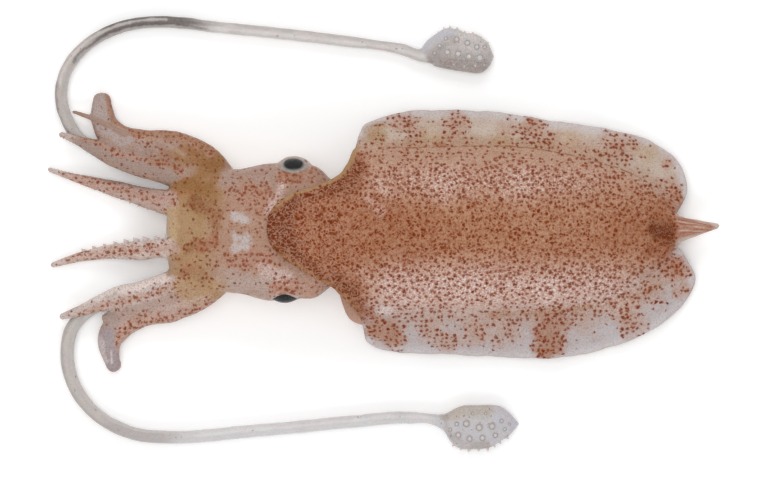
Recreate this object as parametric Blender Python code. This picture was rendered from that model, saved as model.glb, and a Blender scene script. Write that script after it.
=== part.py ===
"""A whole raw cuttlefish, lying belly down with its tentacles laid out.

The flesh is one solid: mantle, fins, tail spine, head, funnel, eight arms and two tentacles with
their clubs. The eyes are two more solids, which sit in sockets in the head.

The head points to -X, the animal's right side is +Y, and the board that it lies on is z = 0.
Shapes are written in millimetres and built in metres.
"""

import math

import bmesh
import bpy
from mathutils import Vector

MM = 0.001

# Driving dimensions, in millimetres.
MANTLE_LENGTH = 90.0  # from the tip of the dorsal lobe to the notch between the fins
TAIL_NOTCH_X = 65.0
LOBE_TIP_X = TAIL_NOTCH_X - MANTLE_LENGTH
TAIL_TIP = (75.4, 1.8)
MANTLE_AXIS_Y = 0.8
MANTLE_WALL = 1.6
MANTLE_POCKET_DEPTH = 6.0
FIN_ROOT_THICKNESS = 1.9
FIN_EDGE_THICKNESS = 0.8
FIN_ROOT_INSET = 2.5  # how far the fin's root is buried in the mantle
FIN_ROOT_START = 1.0  # how far behind the mantle's front margin the root starts
FIN_ROOT_END = 2.0  # how far short of the tail notch the root stops
FIN_ROOT_HALF_WIDTH = 1.2  # the least distance from the root to the mantle's middle line
EYE_RADIUS = 5.1
EYE_GAP = 0.3  # clearance between an eyeball and its socket
EYE_CENTRES = {"eye_right": (-19.9, 12.0, 7.6), "eye_left": (-21.9, -10.4, 7.4)}
BOARD_DEPTH = 5.0  # how far below the board the flattening cutter reaches
PRESS = 0.25  # how far flesh is modelled below the board, so that its underside is cut flat

# Mantle cross-sections along X: half-width, height of the back, of the fin line and of the belly.
MANTLE_SECTIONS = [
    (-26.0, 17.6, 14.9, 9.4, -PRESS),
    (-12.0, 18.2, 17.4, 9.2, -PRESS),
    (4.0, 18.9, 19.4, 8.8, -PRESS),
    (20.0, 19.1, 19.6, 8.4, -PRESS),
    (36.0, 18.2, 17.9, 7.7, -PRESS),
    (48.0, 15.8, 14.8, 6.6, -PRESS),
    (57.0, 12.2, 11.4, 5.4, 0.2),
    (63.0, 7.4, 8.2, 4.4, 1.1),
    (66.2, 3.4, 6.6, 4.0, 1.6),
    (70.5, 1.8, 5.6, 3.9, 2.2),
    (TAIL_TIP[0], 0.45, 4.4, 3.9, 3.4),
]
BACK_FULLNESS = 2.3
BELLY_FULLNESS = 2.6

# Front margin of the mantle on the right side (1) and the left (-1), from the middle of the back
# round to the middle of the belly: degrees round the section, and the margin's X.
MANTLE_MARGINS = {
    1: [
        (0.0, LOBE_TIP_X),
        (4.0, -24.95),
        (12.0, -24.2),
        (21.0, -21.7),
        (26.5, -18.6),
        (32.0, -13.6),
        (39.0, -9.9),
        (52.0, -7.6),
        (73.0, -6.5),
        (90.0, -5.8),
        (125.0, -4.4),
        (180.0, -4.0),
    ],
    -1: [
        (0.0, LOBE_TIP_X),
        (8.5, -24.2),
        (20.5, -20.7),
        (30.0, -16.6),
        (36.5, -13.5),
        (41.0, -11.4),
        (51.0, -9.0),
        (65.0, -6.7),
        (82.0, -5.4),
        (90.0, -5.0),
        (125.0, -4.4),
        (180.0, -4.0),
    ],
}

# Free edge of each fin from its front corner round to the tail notch: X, distance from Y = 0,
# height above the board.
FIN_EDGES = {
    1: [
        (-6.2, 19.2, 7.2),
        (-5.1, 22.4, 5.0),
        (-4.3, 24.3, 3.8),
        (-1.8, 25.5, 3.0),
        (0.7, 26.4, 2.6),
        (4.2, 27.3, 2.2),
        (14.0, 27.8, 1.6),
        (26.0, 27.2, 2.4),
        (38.0, 25.4, 1.4),
        (50.0, 23.6, 2.4),
        (60.5, 20.6, 1.3),
        (66.6, 15.6, 1.8),
        (68.3, 9.6, 2.3),
        (65.8, 4.4, 3.2),
    ],
    -1: [
        (-5.2, 18.6, 7.2),
        (-4.2, 21.8, 4.8),
        (-3.8, 23.8, 3.6),
        (-1.8, 25.4, 2.6),
        (2.2, 26.4, 1.7),
        (14.0, 27.0, 2.5),
        (26.0, 27.6, 1.4),
        (38.0, 27.9, 2.3),
        (50.0, 25.8, 1.3),
        (61.0, 21.2, 2.0),
        (67.6, 15.6, 1.4),
        (70.2, 10.2, 2.0),
        (67.4, 4.2, 3.2),
    ],
}

# Head and arm crown along X: middle line's Y, half-width, underside and top.
HEAD_SECTIONS = [
    (4.0, 0.3, 7.0, 4.0, 13.6),
    (-6.0, 0.3, 9.6, 1.5, 14.4),
    (-11.5, 0.2, 11.8, 0.6, 14.4),
    (-14.4, 0.4, 14.3, -PRESS, 14.3),
    (-20.0, 0.6, 15.0, -PRESS, 14.3),
    (-25.4, 0.4, 15.3, -PRESS, 14.0),
    (-31.0, 0.5, 14.1, -PRESS, 13.5),
    (-38.0, 0.8, 13.4, -PRESS, 12.8),
    (-43.0, 1.4, 12.8, -PRESS, 11.4),
    (-46.6, 1.4, 11.2, 0.3, 9.8),
    (-48.4, 1.3, 10.0, 2.2, 8.0),
]
HEAD_FULLNESS = 2.9

# Funnel under the head: X, half-width, underside and top.
FUNNEL_SECTIONS = [
    (-4.0, 9.0, -PRESS, 6.0),
    (-14.0, 7.0, -PRESS, 5.0),
    (-24.0, 4.0, -PRESS, 4.0),
    (-28.5, 2.6, -PRESS, 3.2),
]

# Arms, pair 1 on the back to pair 4 on the belly, from the crown to the tip:
# X, Y, clear height under the arm, width, thickness.
ARMS = {
    "arm_1_right": [
        (-38.0, 5.6, 4.6, 8.4, 7.6),
        (-47.4, 6.9, 4.4, 5.8, 5.0),
        (-53.0, 8.1, 1.9, 4.6, 4.0),
        (-60.5, 10.2, -PRESS, 3.5, 3.2),
        (-68.5, 12.4, -PRESS, 2.0, 2.0),
        (-75.5, 14.6, -PRESS, 0.9, 1.0),
    ],
    "arm_1_left": [
        (-38.0, -3.2, 4.6, 8.4, 7.6),
        (-47.0, -3.3, 4.4, 5.2, 5.0),
        (-50.0, -3.3, 3.2, 4.2, 4.4),
        (-53.5, -3.7, 1.7, 4.3, 3.9),
        (-60.5, -4.0, -PRESS, 3.4, 3.2),
        (-68.5, -5.3, -PRESS, 2.1, 2.0),
        (-74.9, -7.2, -PRESS, 1.0, 1.0),
    ],
    "arm_2_right": [
        (-38.0, 9.5, 3.2, 8.6, 8.0),
        (-46.5, 13.5, 3.4, 6.2, 5.0),
        (-49.0, 14.3, 3.2, 6.0, 4.7),
        (-54.0, 15.4, 2.8, 5.6, 4.0),
        (-61.0, 17.8, 2.5, 4.8, 3.0),
        (-67.0, 20.4, 2.3, 2.7, 1.9),
        (-72.9, 22.5, 2.1, 1.1, 1.0),
    ],
    "arm_2_left": [
        (-38.0, -8.0, 3.2, 8.6, 8.0),
        (-46.5, -10.8, 3.4, 5.8, 5.0),
        (-54.0, -13.3, 2.8, 5.5, 4.0),
        (-58.7, -14.2, 2.6, 5.2, 3.5),
        (-62.0, -15.1, 2.4, 4.3, 2.8),
        (-67.0, -17.0, 2.3, 2.8, 1.9),
        (-72.7, -18.8, 2.1, 1.2, 1.0),
    ],
    "arm_3_right": [
        (-38.0, 11.5, 2.0, 8.4, 7.0),
        (-46.0, 16.6, 2.6, 6.0, 4.6),
        (-53.0, 20.2, 3.0, 2.8, 2.6),
        (-58.5, 22.8, 3.1, 1.6, 1.6),
        (-64.0, 25.4, 2.5, 1.2, 1.2),
        (-69.9, 27.6, 0.9, 0.9, 0.9),
    ],
    "arm_3_left": [
        (-38.0, -9.8, 1.6, 8.4, 7.0),
        (-46.0, -13.8, 1.8, 6.8, 5.0),
        (-53.0, -16.2, 1.6, 5.2, 3.8),
        (-59.0, -18.0, 1.8, 3.4, 2.6),
        (-63.2, -19.2, 1.2, 1.5, 1.4),
    ],
    "arm_4_right": [
        (-36.4, 8.2, -PRESS, 11.6, 9.6),
        (-41.4, 14.7, -PRESS, 11.8, 8.0),
        (-47.5, 18.7, -PRESS, 9.0, 6.0),
        (-54.0, 19.8, -PRESS, 7.2, 5.4),
        (-59.8, 21.4, -PRESS, 6.8, 4.6),
        (-62.5, 24.9, -PRESS, 5.8, 3.7),
        (-63.1, 28.4, -PRESS, 4.9, 3.1),
        (-63.1, 30.9, -PRESS, 3.4, 2.4),
    ],
    "arm_4_left": [
        (-36.4, -6.6, -PRESS, 11.4, 9.6),
        (-41.4, -11.6, -PRESS, 10.6, 8.0),
        (-47.5, -15.5, -PRESS, 8.6, 6.0),
        (-54.0, -17.7, -PRESS, 6.6, 4.6),
        (-59.0, -20.4, -PRESS, 6.6, 4.0),
        (-61.4, -24.0, -PRESS, 5.6, 3.4),
        (-61.1, -27.6, -PRESS, 3.9, 3.0),
        (-60.1, -30.2, -PRESS, 3.0, 2.4),
    ],
}

# The underside's rim, which swells out past the left shoulder, as rows of the same kind.
COLLAR_LEFT = [
    (-8.0, -7.5, 2.0, 4.4, 5.0),
    (-7.6, -11.4, 2.0, 4.8, 5.6),
    (-6.7, -15.0, 2.0, 4.9, 5.8),
    (-5.6, -17.6, 2.0, 4.6, 5.6),
    (-2.6, -18.4, 2.2, 4.2, 5.0),
    (3.0, -17.6, 2.4, 3.4, 4.0),
]

# Tentacles: from the crown, round a bend that is part of an ellipse, then along a nearly straight
# run to the club. Points are X, Y; angles are degrees round the bend's centre.
TENTACLES = {
    "tentacle_right": {
        "root": [(-40.0, 8.0), (-48.6, 12.4), (-56.0, 14.8), (-64.0, 18.5), (-68.6, 21.8)],
        "bend_centre": (-50.8, 31.3),
        "bend_radii": (21.5, 16.3),
        "bend_from": 201.0,
        "bend_to": 90.0,
        "run": [(-36.3, 46.3), (-10.3, 43.5), (4.0, 41.5)],
        "width": 2.95,
    },
    "tentacle_left": {
        "root": [(-40.0, -6.0), (-48.6, -10.4), (-57.0, -13.4), (-63.4, -15.6), (-67.6, -18.4)],
        "bend_centre": (-50.0, -27.0),
        "bend_radii": (20.9, 18.6),
        "bend_from": -196.0,
        "bend_to": -90.0,
        "run": [(-28.2, -44.2), (-6.7, -42.2), (5.6, -41.3)],
        "width": 3.25,
    },
}
NECK_SHARE = 0.84  # a tentacle's width where it meets its club, against its width at the crown

# Clubs at the tentacles' ends: X, Y, width, thickness, from the neck to the tip.
CLUBS = {
    "tentacle_right": [
        (9.3, 40.2, 3.7, 2.7),
        (11.4, 41.1, 6.8, 3.1),
        (14.2, 41.6, 9.1, 3.3),
        (16.6, 41.3, 9.4, 3.4),
        (18.6, 40.7, 8.9, 3.4),
        (20.4, 40.5, 9.0, 3.4),
        (22.6, 40.1, 7.5, 3.2),
        (24.1, 40.0, 4.8, 2.8),
        (24.9, 39.8, 2.0, 2.0),
    ],
    "tentacle_left": [
        (12.2, -41.9, 2.8, 2.7),
        (13.7, -42.4, 3.9, 2.9),
        (15.2, -43.3, 7.0, 3.2),
        (16.5, -43.5, 8.8, 3.4),
        (18.0, -43.5, 9.8, 3.4),
        (22.0, -43.4, 9.9, 3.4),
        (24.8, -43.1, 9.2, 3.3),
        (26.4, -42.7, 7.9, 3.1),
        (28.0, -42.7, 5.8, 2.7),
        (29.4, -42.7, 3.2, 2.2),
        (30.6, -42.7, 1.1, 1.6),
    ],
}
CLUB_TURN = (9.0, 12.0)  # from the first X to the second, widths turn to be measured along Y
BEND_STEP = 18.0  # degrees between the points that guide a bend
TENTACLE_FLATNESS = 0.92
TENTACLE_LIFT = 1.6  # how high a tentacle leaves the crown
TENTACLE_LANDS_AT = 0.12  # share of its length by which it rests on the board
TIP_SHARE = 0.35  # how far a limb's point runs past its last row, as a share of the row's width
RING_SPREAD = 0.9  # under 1, the mantle's rings stand closer together towards the tail
SIDE_FULLNESS = 0.9  # under 1, the back keeps its width further up the mantle's sides
FIN_DROOP = 0.45  # share of a fin's fall that is a curve rather than a straight slope
BOARD_SIZE = 300.0

# Facet counts.
MANTLE_SIDES = 40
MANTLE_RINGS = 30
HEAD_SIDES = 22
HEAD_RINGS = 16
FUNNEL_RINGS = 6
ARM_SIDES = 9
ARM_RINGS = 13
TENTACLE_SIDES = 9
TENTACLE_RINGS = 34
CLUB_RINGS = 12
COLLAR_RINGS = 8
FIN_RINGS = 32
FIN_STEPS = 4
EYE_SEGMENTS = 16
EYE_RINGS = 10


def clear_scene():
    for item in list(bpy.data.objects):
        bpy.data.objects.remove(item, do_unlink=True)


def smooth_rows(rows, count):
    """count rows on a smooth curve through the given rows, evenly spaced by length."""
    points = [Vector(row) for row in rows]
    knots = [0.0]
    for a, b in zip(points, points[1:]):
        knots.append(knots[-1] + (b - a).length)
    slopes = []
    for i in range(len(points)):
        low = max(i - 1, 0)
        high = min(i + 1, len(points) - 1)
        slopes.append((points[high] - points[low]) / (knots[high] - knots[low]))
    found = []
    span = 0
    for i in range(count):
        at = knots[-1] * i / (count - 1)
        while span < len(points) - 2 and at > knots[span + 1]:
            span += 1
        length = knots[span + 1] - knots[span]
        t = (at - knots[span]) / length
        found.append(
            points[span] * (2 * t**3 - 3 * t**2 + 1)
            + slopes[span] * length * (t**3 - 2 * t**2 + t)
            + points[span + 1] * (3 * t**2 - 2 * t**3)
            + slopes[span + 1] * length * (t**3 - t**2)
        )
    return found


def value_at(rows, key):
    """The other columns of rows at a value of the first column, eased between the rows."""
    ordered = sorted(rows)
    if key <= ordered[0][0]:
        return ordered[0][1:]
    for low, high in zip(ordered, ordered[1:]):
        if key <= high[0]:
            before = ordered[max(ordered.index(low) - 1, 0)]
            after = ordered[min(ordered.index(high) + 1, len(ordered) - 1)]
            length = high[0] - low[0]
            t = (key - low[0]) / length
            found = []
            for b, p, q, a in zip(before[1:], low[1:], high[1:], after[1:]):
                out_slope = (q - b) / (high[0] - before[0]) * length
                in_slope = (a - p) / (after[0] - low[0]) * length
                found.append(
                    p * (2 * t**3 - 3 * t**2 + 1)
                    + out_slope * (t**3 - 2 * t**2 + t)
                    + q * (3 * t**2 - 2 * t**3)
                    + in_slope * (t**3 - t**2)
                )
            return found
    return ordered[-1][1:]


def power(value, exponent):
    return math.copysign(abs(value) ** exponent, value)


def new_material(name, colour, roughness):
    material = bpy.data.materials.new(name)
    material.use_nodes = True
    shader = material.node_tree.nodes["Principled BSDF"]
    shader.inputs["Base Color"].default_value = (*colour, 1.0)
    shader.inputs["Roughness"].default_value = roughness
    shader.inputs["Metallic"].default_value = 0.0
    return material


def closed_loft(name, rings, first_pole=None, last_pole=None):
    """An object whose skin runs over rings of points, in millimetres, and closes at both ends."""
    mesh = bmesh.new()
    loops = [[mesh.verts.new(point * MM) for point in ring] for ring in rings]
    for here, there in zip(loops, loops[1:]):
        for i in range(len(here)):
            j = (i + 1) % len(here)
            mesh.faces.new((here[i], here[j], there[j], there[i]))
    for loop, ring, pole in ((loops[0], rings[0], first_pole), (loops[-1], rings[-1], last_pole)):
        middle = pole or sum(ring, Vector()) / len(ring)
        tip = mesh.verts.new(middle * MM)
        for i in range(len(loop)):
            mesh.faces.new((loop[i], loop[(i + 1) % len(loop)], tip))
    bmesh.ops.recalc_face_normals(mesh, faces=mesh.faces)
    data = bpy.data.meshes.new(name)
    mesh.to_mesh(data)
    mesh.free()
    data.shade_smooth()
    made = bpy.data.objects.new(name, data)
    bpy.context.scene.collection.objects.link(made)
    return made


def mantle_point(x, degrees, inset=0.0):
    """A point on the mantle's wall: degrees run from the back, through the right side, to the belly."""
    width, back, line, belly = value_at(MANTLE_SECTIONS, x)
    angle = math.radians(degrees)
    across = math.sin(angle)
    up = math.cos(angle)
    if up >= 0:
        share = abs(across) ** SIDE_FULLNESS
        y = math.copysign(share, across)
        z = line + (back - line) * (1 - share**BACK_FULLNESS)
    else:
        y = power(across, 2 / BELLY_FULLNESS)
        z = line - (line - belly) * abs(up) ** (2 / BELLY_FULLNESS)
    tail_share = max(0.0, (x - TAIL_NOTCH_X) / (TAIL_TIP[0] - TAIL_NOTCH_X))
    axis = MANTLE_AXIS_Y + (TAIL_TIP[1] - MANTLE_AXIS_Y) * tail_share
    narrowed = 1 - inset / width
    return Vector((x, axis + y * width * narrowed, line + (z - line) * (1 - inset / (line - belly))))


def margin_x(degrees):
    folded = abs((degrees + 180) % 360 - 180)
    side = 1 if degrees % 360 < 180 else -1
    return value_at(MANTLE_MARGINS[side], folded)[0]


def mantle():
    """The body sac, hollow just inside its front margin, with the tail spine at its end."""
    turns = [360 * i / MANTLE_SIDES for i in range(MANTLE_SIDES)]
    rings = []
    for depth in (1.0, 0.5, 0.0):
        rings.append(
            [
                mantle_point(margin_x(turn) + MANTLE_POCKET_DEPTH * depth, turn, MANTLE_WALL)
                for turn in turns
            ]
        )
    for i in range(MANTLE_RINGS):
        along = (i / (MANTLE_RINGS - 1)) ** RING_SPREAD
        ring = []
        for turn in turns:
            x = margin_x(turn) * (1 - along) + TAIL_TIP[0] * along
            ring.append(mantle_point(x, turn))
        rings.append(ring)
    floor = Vector((0.0, 0.0, MANTLE_SECTIONS[1][3]))
    return closed_loft("mantle", rings, first_pole=floor)


def fin(name, side):
    """A thin swimming fin: its root is buried in the mantle's side, its edge droops to the board."""
    edge = smooth_rows(FIN_EDGES[side], FIN_RINGS)
    root_start = margin_x(90 * side) + FIN_ROOT_START
    root_end = TAIL_NOTCH_X - FIN_ROOT_END
    rings = []
    for i, (x, reach, height) in enumerate(edge):
        along = i / (FIN_RINGS - 1)
        root_x = root_start + (root_end - root_start) * along
        width, _, line, _ = value_at(MANTLE_SECTIONS, root_x)
        root = Vector((root_x, side * max(width - FIN_ROOT_INSET, FIN_ROOT_HALF_WIDTH), line))
        tip = Vector((x, side * reach, height))
        upper = []
        lower = []
        for step in range(FIN_STEPS + 1):
            t = step / FIN_STEPS
            point = root.lerp(tip, t)
            point.z = root.z + (tip.z - root.z) * ((1 - FIN_DROOP) * t + FIN_DROOP * t * t)
            half = (FIN_ROOT_THICKNESS * (1 - t) + FIN_EDGE_THICKNESS * t) / 2
            upper.append(point + Vector((0, 0, half)))
            lower.append(point - Vector((0, 0, half)))
        rings.append(upper + lower[::-1])
    return closed_loft(name, rings)


def head():
    """Head, neck and the crown that the arms grow from."""
    rings = []
    for x, middle, width, under, top in smooth_rows(HEAD_SECTIONS, HEAD_RINGS):
        ring = []
        for i in range(HEAD_SIDES):
            angle = 2 * math.pi * i / HEAD_SIDES
            y = middle + width * power(math.sin(angle), 2 / HEAD_FULLNESS)
            z = (top + under) / 2 + (top - under) / 2 * power(math.cos(angle), 2 / HEAD_FULLNESS)
            ring.append(Vector((x, y, z)))
        rings.append(ring)
    return closed_loft("head", rings)


def funnel():
    rings = []
    for x, width, under, top in smooth_rows(FUNNEL_SECTIONS, FUNNEL_RINGS):
        ring = []
        for i in range(ARM_SIDES):
            angle = 2 * math.pi * i / ARM_SIDES
            height = (top + under) / 2 + (top - under) / 2 * math.cos(angle)
            ring.append(Vector((x, width * math.sin(angle), height)))
        rings.append(ring)
    return closed_loft("funnel", rings)


def limb(name, rows, sides):
    """A limb along rows of X, Y, clear height under it, width and thickness, with a rounded tip."""
    rings = []
    turn_from, turn_to = CLUB_TURN
    for i, (x, y, lift, width, thickness) in enumerate(rows):
        before = rows[max(i - 1, 0)]
        after = rows[min(i + 1, len(rows) - 1)]
        slant = min(max((turn_to - x) / (turn_to - turn_from), 0.0), 1.0)
        along = Vector((after[0] - before[0], (after[1] - before[1]) * slant, 0)).normalized()
        across = Vector((-along.y, along.x, 0))
        middle = Vector((x, y, lift + thickness / 2))
        ring = []
        for k in range(sides):
            angle = 2 * math.pi * k / sides
            ring.append(
                middle
                + across * (width / 2 * math.sin(angle))
                + Vector((0, 0, thickness / 2 * math.cos(angle)))
            )
        rings.append(ring)
    last = rows[-1]
    along = Vector((last[0] - rows[-2][0], last[1] - rows[-2][1], 0)).normalized()
    tip = Vector((last[0], last[1], last[2] + last[4] / 2)) + along * (last[3] * TIP_SHARE)
    return closed_loft(name, rings, last_pole=tip)


def tentacle_rows(size, club):
    """Rows of a tentacle and its club, as limb() takes them."""
    bend = []
    steps = round(abs(size["bend_to"] - size["bend_from"]) / BEND_STEP)
    for i in range(steps + 1):
        angle = math.radians(size["bend_from"] + (size["bend_to"] - size["bend_from"]) * i / steps)
        bend.append(
            (
                size["bend_centre"][0] + size["bend_radii"][0] * math.cos(angle),
                size["bend_centre"][1] + size["bend_radii"][1] * math.sin(angle),
            )
        )
    path = smooth_rows(size["root"] + bend + size["run"] + [club[0][:2]], TENTACLE_RINGS)
    rows = []
    for i, (x, y) in enumerate(path[:-1]):
        along = i / (len(path) - 1)
        lift = max(-PRESS, TENTACLE_LIFT * (1 - along / TENTACLE_LANDS_AT))
        width = size["width"] * (1 + (NECK_SHARE - 1) * along)
        rows.append((x, y, lift, width, width * TENTACLE_FLATNESS))
    for x, y, width, thickness in smooth_rows(club, CLUB_RINGS):
        rows.append((x, y, -PRESS, width, thickness))
    return rows


def eyeball(name, centre, radius):
    """A closed ball, with its poles fore and aft."""
    rings = []
    for i in range(1, EYE_RINGS):
        tilt = math.pi * i / EYE_RINGS
        ring = []
        for k in range(EYE_SEGMENTS):
            angle = 2 * math.pi * k / EYE_SEGMENTS
            ring.append(
                Vector(
                    (
                        centre[0] - radius * math.cos(tilt),
                        centre[1] + radius * math.sin(tilt) * math.sin(angle),
                        centre[2] + radius * math.sin(tilt) * math.cos(angle),
                    )
                )
            )
        rings.append(ring)
    front = Vector(centre) - Vector((radius, 0, 0))
    back = Vector(centre) + Vector((radius, 0, 0))
    return closed_loft(name, rings, first_pole=front, last_pole=back)


def board():
    """The slab under the animal that flattens what rests on it."""
    bpy.ops.mesh.primitive_cube_add(size=1.0, location=(0, 0, -BOARD_DEPTH / 2 * MM))
    made = bpy.context.object
    made.name = "board"
    made.scale = (BOARD_SIZE * MM, BOARD_SIZE * MM, BOARD_DEPTH * MM)
    return made


def set_aside(item, group):
    """Makes an object a helper that is only joined to the flesh or cut from it."""
    for held_by in list(item.users_collection):
        held_by.objects.unlink(item)
    group.objects.link(item)
    item.hide_render = True
    item.display_type = "WIRE"


def add_boolean(target, operation, group):
    modifier = target.modifiers.new(operation.title(), "BOOLEAN")
    modifier.operation = operation
    modifier.operand_type = "COLLECTION"
    modifier.collection = group
    modifier.solver = "EXACT"
    modifier.use_self = False


def main():
    clear_scene()
    joined = bpy.data.collections.new("joined_to_flesh")
    cut = bpy.data.collections.new("cut_from_flesh")
    for group in (joined, cut):
        bpy.context.scene.collection.children.link(group)

    flesh = mantle()
    flesh.name = "cuttlefish"
    limbs = [fin("fin_right", 1), fin("fin_left", -1), head(), funnel()]
    for name, rows in ARMS.items():
        limbs.append(limb(name, smooth_rows(rows, ARM_RINGS), ARM_SIDES))
    limbs.append(limb("collar_left", smooth_rows(COLLAR_LEFT, COLLAR_RINGS), ARM_SIDES))
    for name, size in TENTACLES.items():
        limbs.append(limb(name, tentacle_rows(size, CLUBS[name]), TENTACLE_SIDES))
    for item in limbs:
        set_aside(item, joined)

    eye_material = new_material("eye", (0.03, 0.026, 0.025), 0.08)
    for name, centre in EYE_CENTRES.items():
        ball = eyeball(name, centre, EYE_RADIUS)
        ball.data.materials.append(eye_material)
        set_aside(eyeball(name + "_socket", centre, EYE_RADIUS + EYE_GAP), cut)
    set_aside(board(), cut)

    add_boolean(flesh, "UNION", joined)
    add_boolean(flesh, "DIFFERENCE", cut)
    flesh.data.materials.append(new_material("flesh", (0.38, 0.2, 0.13), 0.35))


main()
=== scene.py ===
import math

import bpy
import numpy as np
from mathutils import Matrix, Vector, noise


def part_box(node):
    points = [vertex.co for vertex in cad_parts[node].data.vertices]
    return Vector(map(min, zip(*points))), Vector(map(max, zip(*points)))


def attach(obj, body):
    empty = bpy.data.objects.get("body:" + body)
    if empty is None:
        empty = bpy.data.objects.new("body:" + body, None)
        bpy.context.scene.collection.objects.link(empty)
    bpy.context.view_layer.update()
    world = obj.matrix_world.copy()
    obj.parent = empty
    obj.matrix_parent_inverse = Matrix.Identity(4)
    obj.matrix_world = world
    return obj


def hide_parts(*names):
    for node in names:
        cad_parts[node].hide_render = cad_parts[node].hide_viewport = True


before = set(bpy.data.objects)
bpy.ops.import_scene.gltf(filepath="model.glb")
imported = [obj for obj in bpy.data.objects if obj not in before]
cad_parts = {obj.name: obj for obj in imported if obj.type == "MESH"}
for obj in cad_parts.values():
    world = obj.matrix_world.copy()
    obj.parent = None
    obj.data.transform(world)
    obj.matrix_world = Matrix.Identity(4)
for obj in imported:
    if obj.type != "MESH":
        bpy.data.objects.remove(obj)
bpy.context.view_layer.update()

# A whole raw cuttlefish on a pale floor. Shapes are worked out in millimetres and set in metres.
mm = 0.001
fleshLow, fleshHigh = (np.array(corner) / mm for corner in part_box("cuttlefish"))


def tint(red, green, blue):
    # a colour as a screen shows it, in linear light by the sRGB curve
    parts = [part / 255 for part in (red, green, blue)]
    return tuple(part / 12.92 if part < 0.04 else ((part + 0.055) / 1.055) ** 2.4 for part in parts)


def between(rows, keys):
    # the other columns of rows at each key of the first column, on a smooth curve
    table = np.array(rows, float)
    table = table[np.argsort(table[:, 0])]
    at, values = table[:, 0], table[:, 1:]
    slopes = np.gradient(values, at, axis=0)
    keys = np.clip(keys, at[0], at[-1])
    i = np.clip(np.searchsorted(at, keys, side="right") - 1, 0, len(at) - 2)
    length = (at[i + 1] - at[i])[:, None]
    t = (keys - at[i])[:, None] / length
    return (
        values[i] * (2 * t**3 - 3 * t**2 + 1)
        + slopes[i] * length * (t**3 - 2 * t**2 + t)
        + values[i + 1] * (3 * t**2 - 2 * t**3)
        + slopes[i + 1] * length * (t**3 - t**2)
    )


def alongPath(points, shares):
    # points on a smooth curve through the given ones, at shares of its length
    points = np.array(points, float)
    steps = np.linalg.norm(np.diff(points[:, :2], axis=0), axis=1)
    reach = np.concatenate([[0], np.cumsum(steps)])
    return between(np.column_stack([reach, points]), shares * reach[-1])


def smooth(low, high, values):
    t = np.clip((values - low) / (high - low), 0, 1)
    return t * t * (3 - 2 * t)


def rounded(shares, start, end):
    # 1 along the middle of a limb, falling to 0 on a quarter circle over each end
    head = np.clip(1 - shares / max(start, 1e-6), 0, 1)
    tail = np.clip((shares - 1 + end) / max(end, 1e-6), 0, 1)
    return np.sqrt(np.clip(1 - head**2, 0, 1)) * np.sqrt(np.clip(1 - tail**2, 0, 1))


def signedPower(values, exponent):
    return np.sign(values) * np.abs(values) ** exponent


def selectOnly(piece):
    bpy.ops.object.select_all(action="DESELECT")
    piece.select_set(True)
    bpy.context.view_layer.objects.active = piece


def pointsOf(piece):
    flat = np.empty(len(piece.data.vertices) * 3)
    piece.data.vertices.foreach_get("co", flat)
    return flat.reshape(-1, 3) / mm


def setPoints(piece, points):
    piece.data.vertices.foreach_set("co", (points * mm).ravel())
    piece.data.update()


def writeSpread(piece, spread):
    # flat skin coordinates, so that spots stay round where the skin turns down
    flat = np.column_stack([spread * mm, np.zeros(len(spread))])
    piece.data.attributes.new("spread", "FLOAT_VECTOR", "POINT").data.foreach_set("vector", flat.ravel())


def limbSpread(piece, radius):
    # seen from above, with what a round limb hides on its sides laid out again
    points, normals = pointsOf(piece), normalsOf(piece)
    tilt = np.arccos(np.clip(normals[:, 2], -1, 1))
    level = np.linalg.norm(normals[:, :2], axis=1)[:, None]
    out = normals[:, :2] / np.maximum(level, 1e-4)
    writeSpread(piece, points[:, :2] + out * (radius * (tilt - np.sin(tilt)))[:, None])


def normalsOf(piece):
    flat = np.empty(len(piece.data.vertices) * 3)
    piece.data.vertex_normals.foreach_get("vector", flat)
    return flat.reshape(-1, 3)


def closeMesh(piece):
    # merges what meets and turns every face outwards
    selectOnly(piece)
    bpy.ops.object.mode_set(mode="EDIT")
    bpy.ops.mesh.select_all(action="SELECT")
    bpy.ops.mesh.remove_doubles(threshold=0.002 * mm)
    bpy.ops.mesh.normals_make_consistent(inside=False)
    bpy.ops.object.mode_set(mode="OBJECT")
    bpy.ops.object.shade_smooth()


def flatGrid(name, rings, sides):
    # a grid to be rolled up, and how far along and across it each point is, from 0 to 1
    bpy.ops.object.select_all(action="DESELECT")
    bpy.ops.mesh.primitive_grid_add(x_subdivisions=rings, y_subdivisions=sides, size=1)
    piece = bpy.context.object
    piece.name = piece.data.name = name
    flat = pointsOf(piece) * mm + 0.5
    return piece, flat[:, 0], flat[:, 1]


def wrapGrid(name, rings, sides, place):
    # a grid whose rows are rolled into rings: place gives each point, in millimetres
    piece, along, around = flatGrid(name, rings, sides)
    setPoints(piece, place(along, around))
    closeMesh(piece)
    return piece


limbSize = {
    "square": 2.2,  # 2 makes a limb's section an ellipse, and more makes it boxier
    "clubTurn": (12, 9),  # between these x a tentacle's width turns to be measured straight across
    "step": 0.004,  # share of a limb's length over which its direction is read
    "lineStep": 0.01,  # the same for a painted line
}


def heading(rows, shares, step):
    # which way a limb runs at shares of its length, seen from above
    ahead = alongPath(rows, np.clip(shares + step, 0, 1))[:, :2]
    return ahead - alongPath(rows, np.clip(shares - step, 0, 1))[:, :2]


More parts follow.
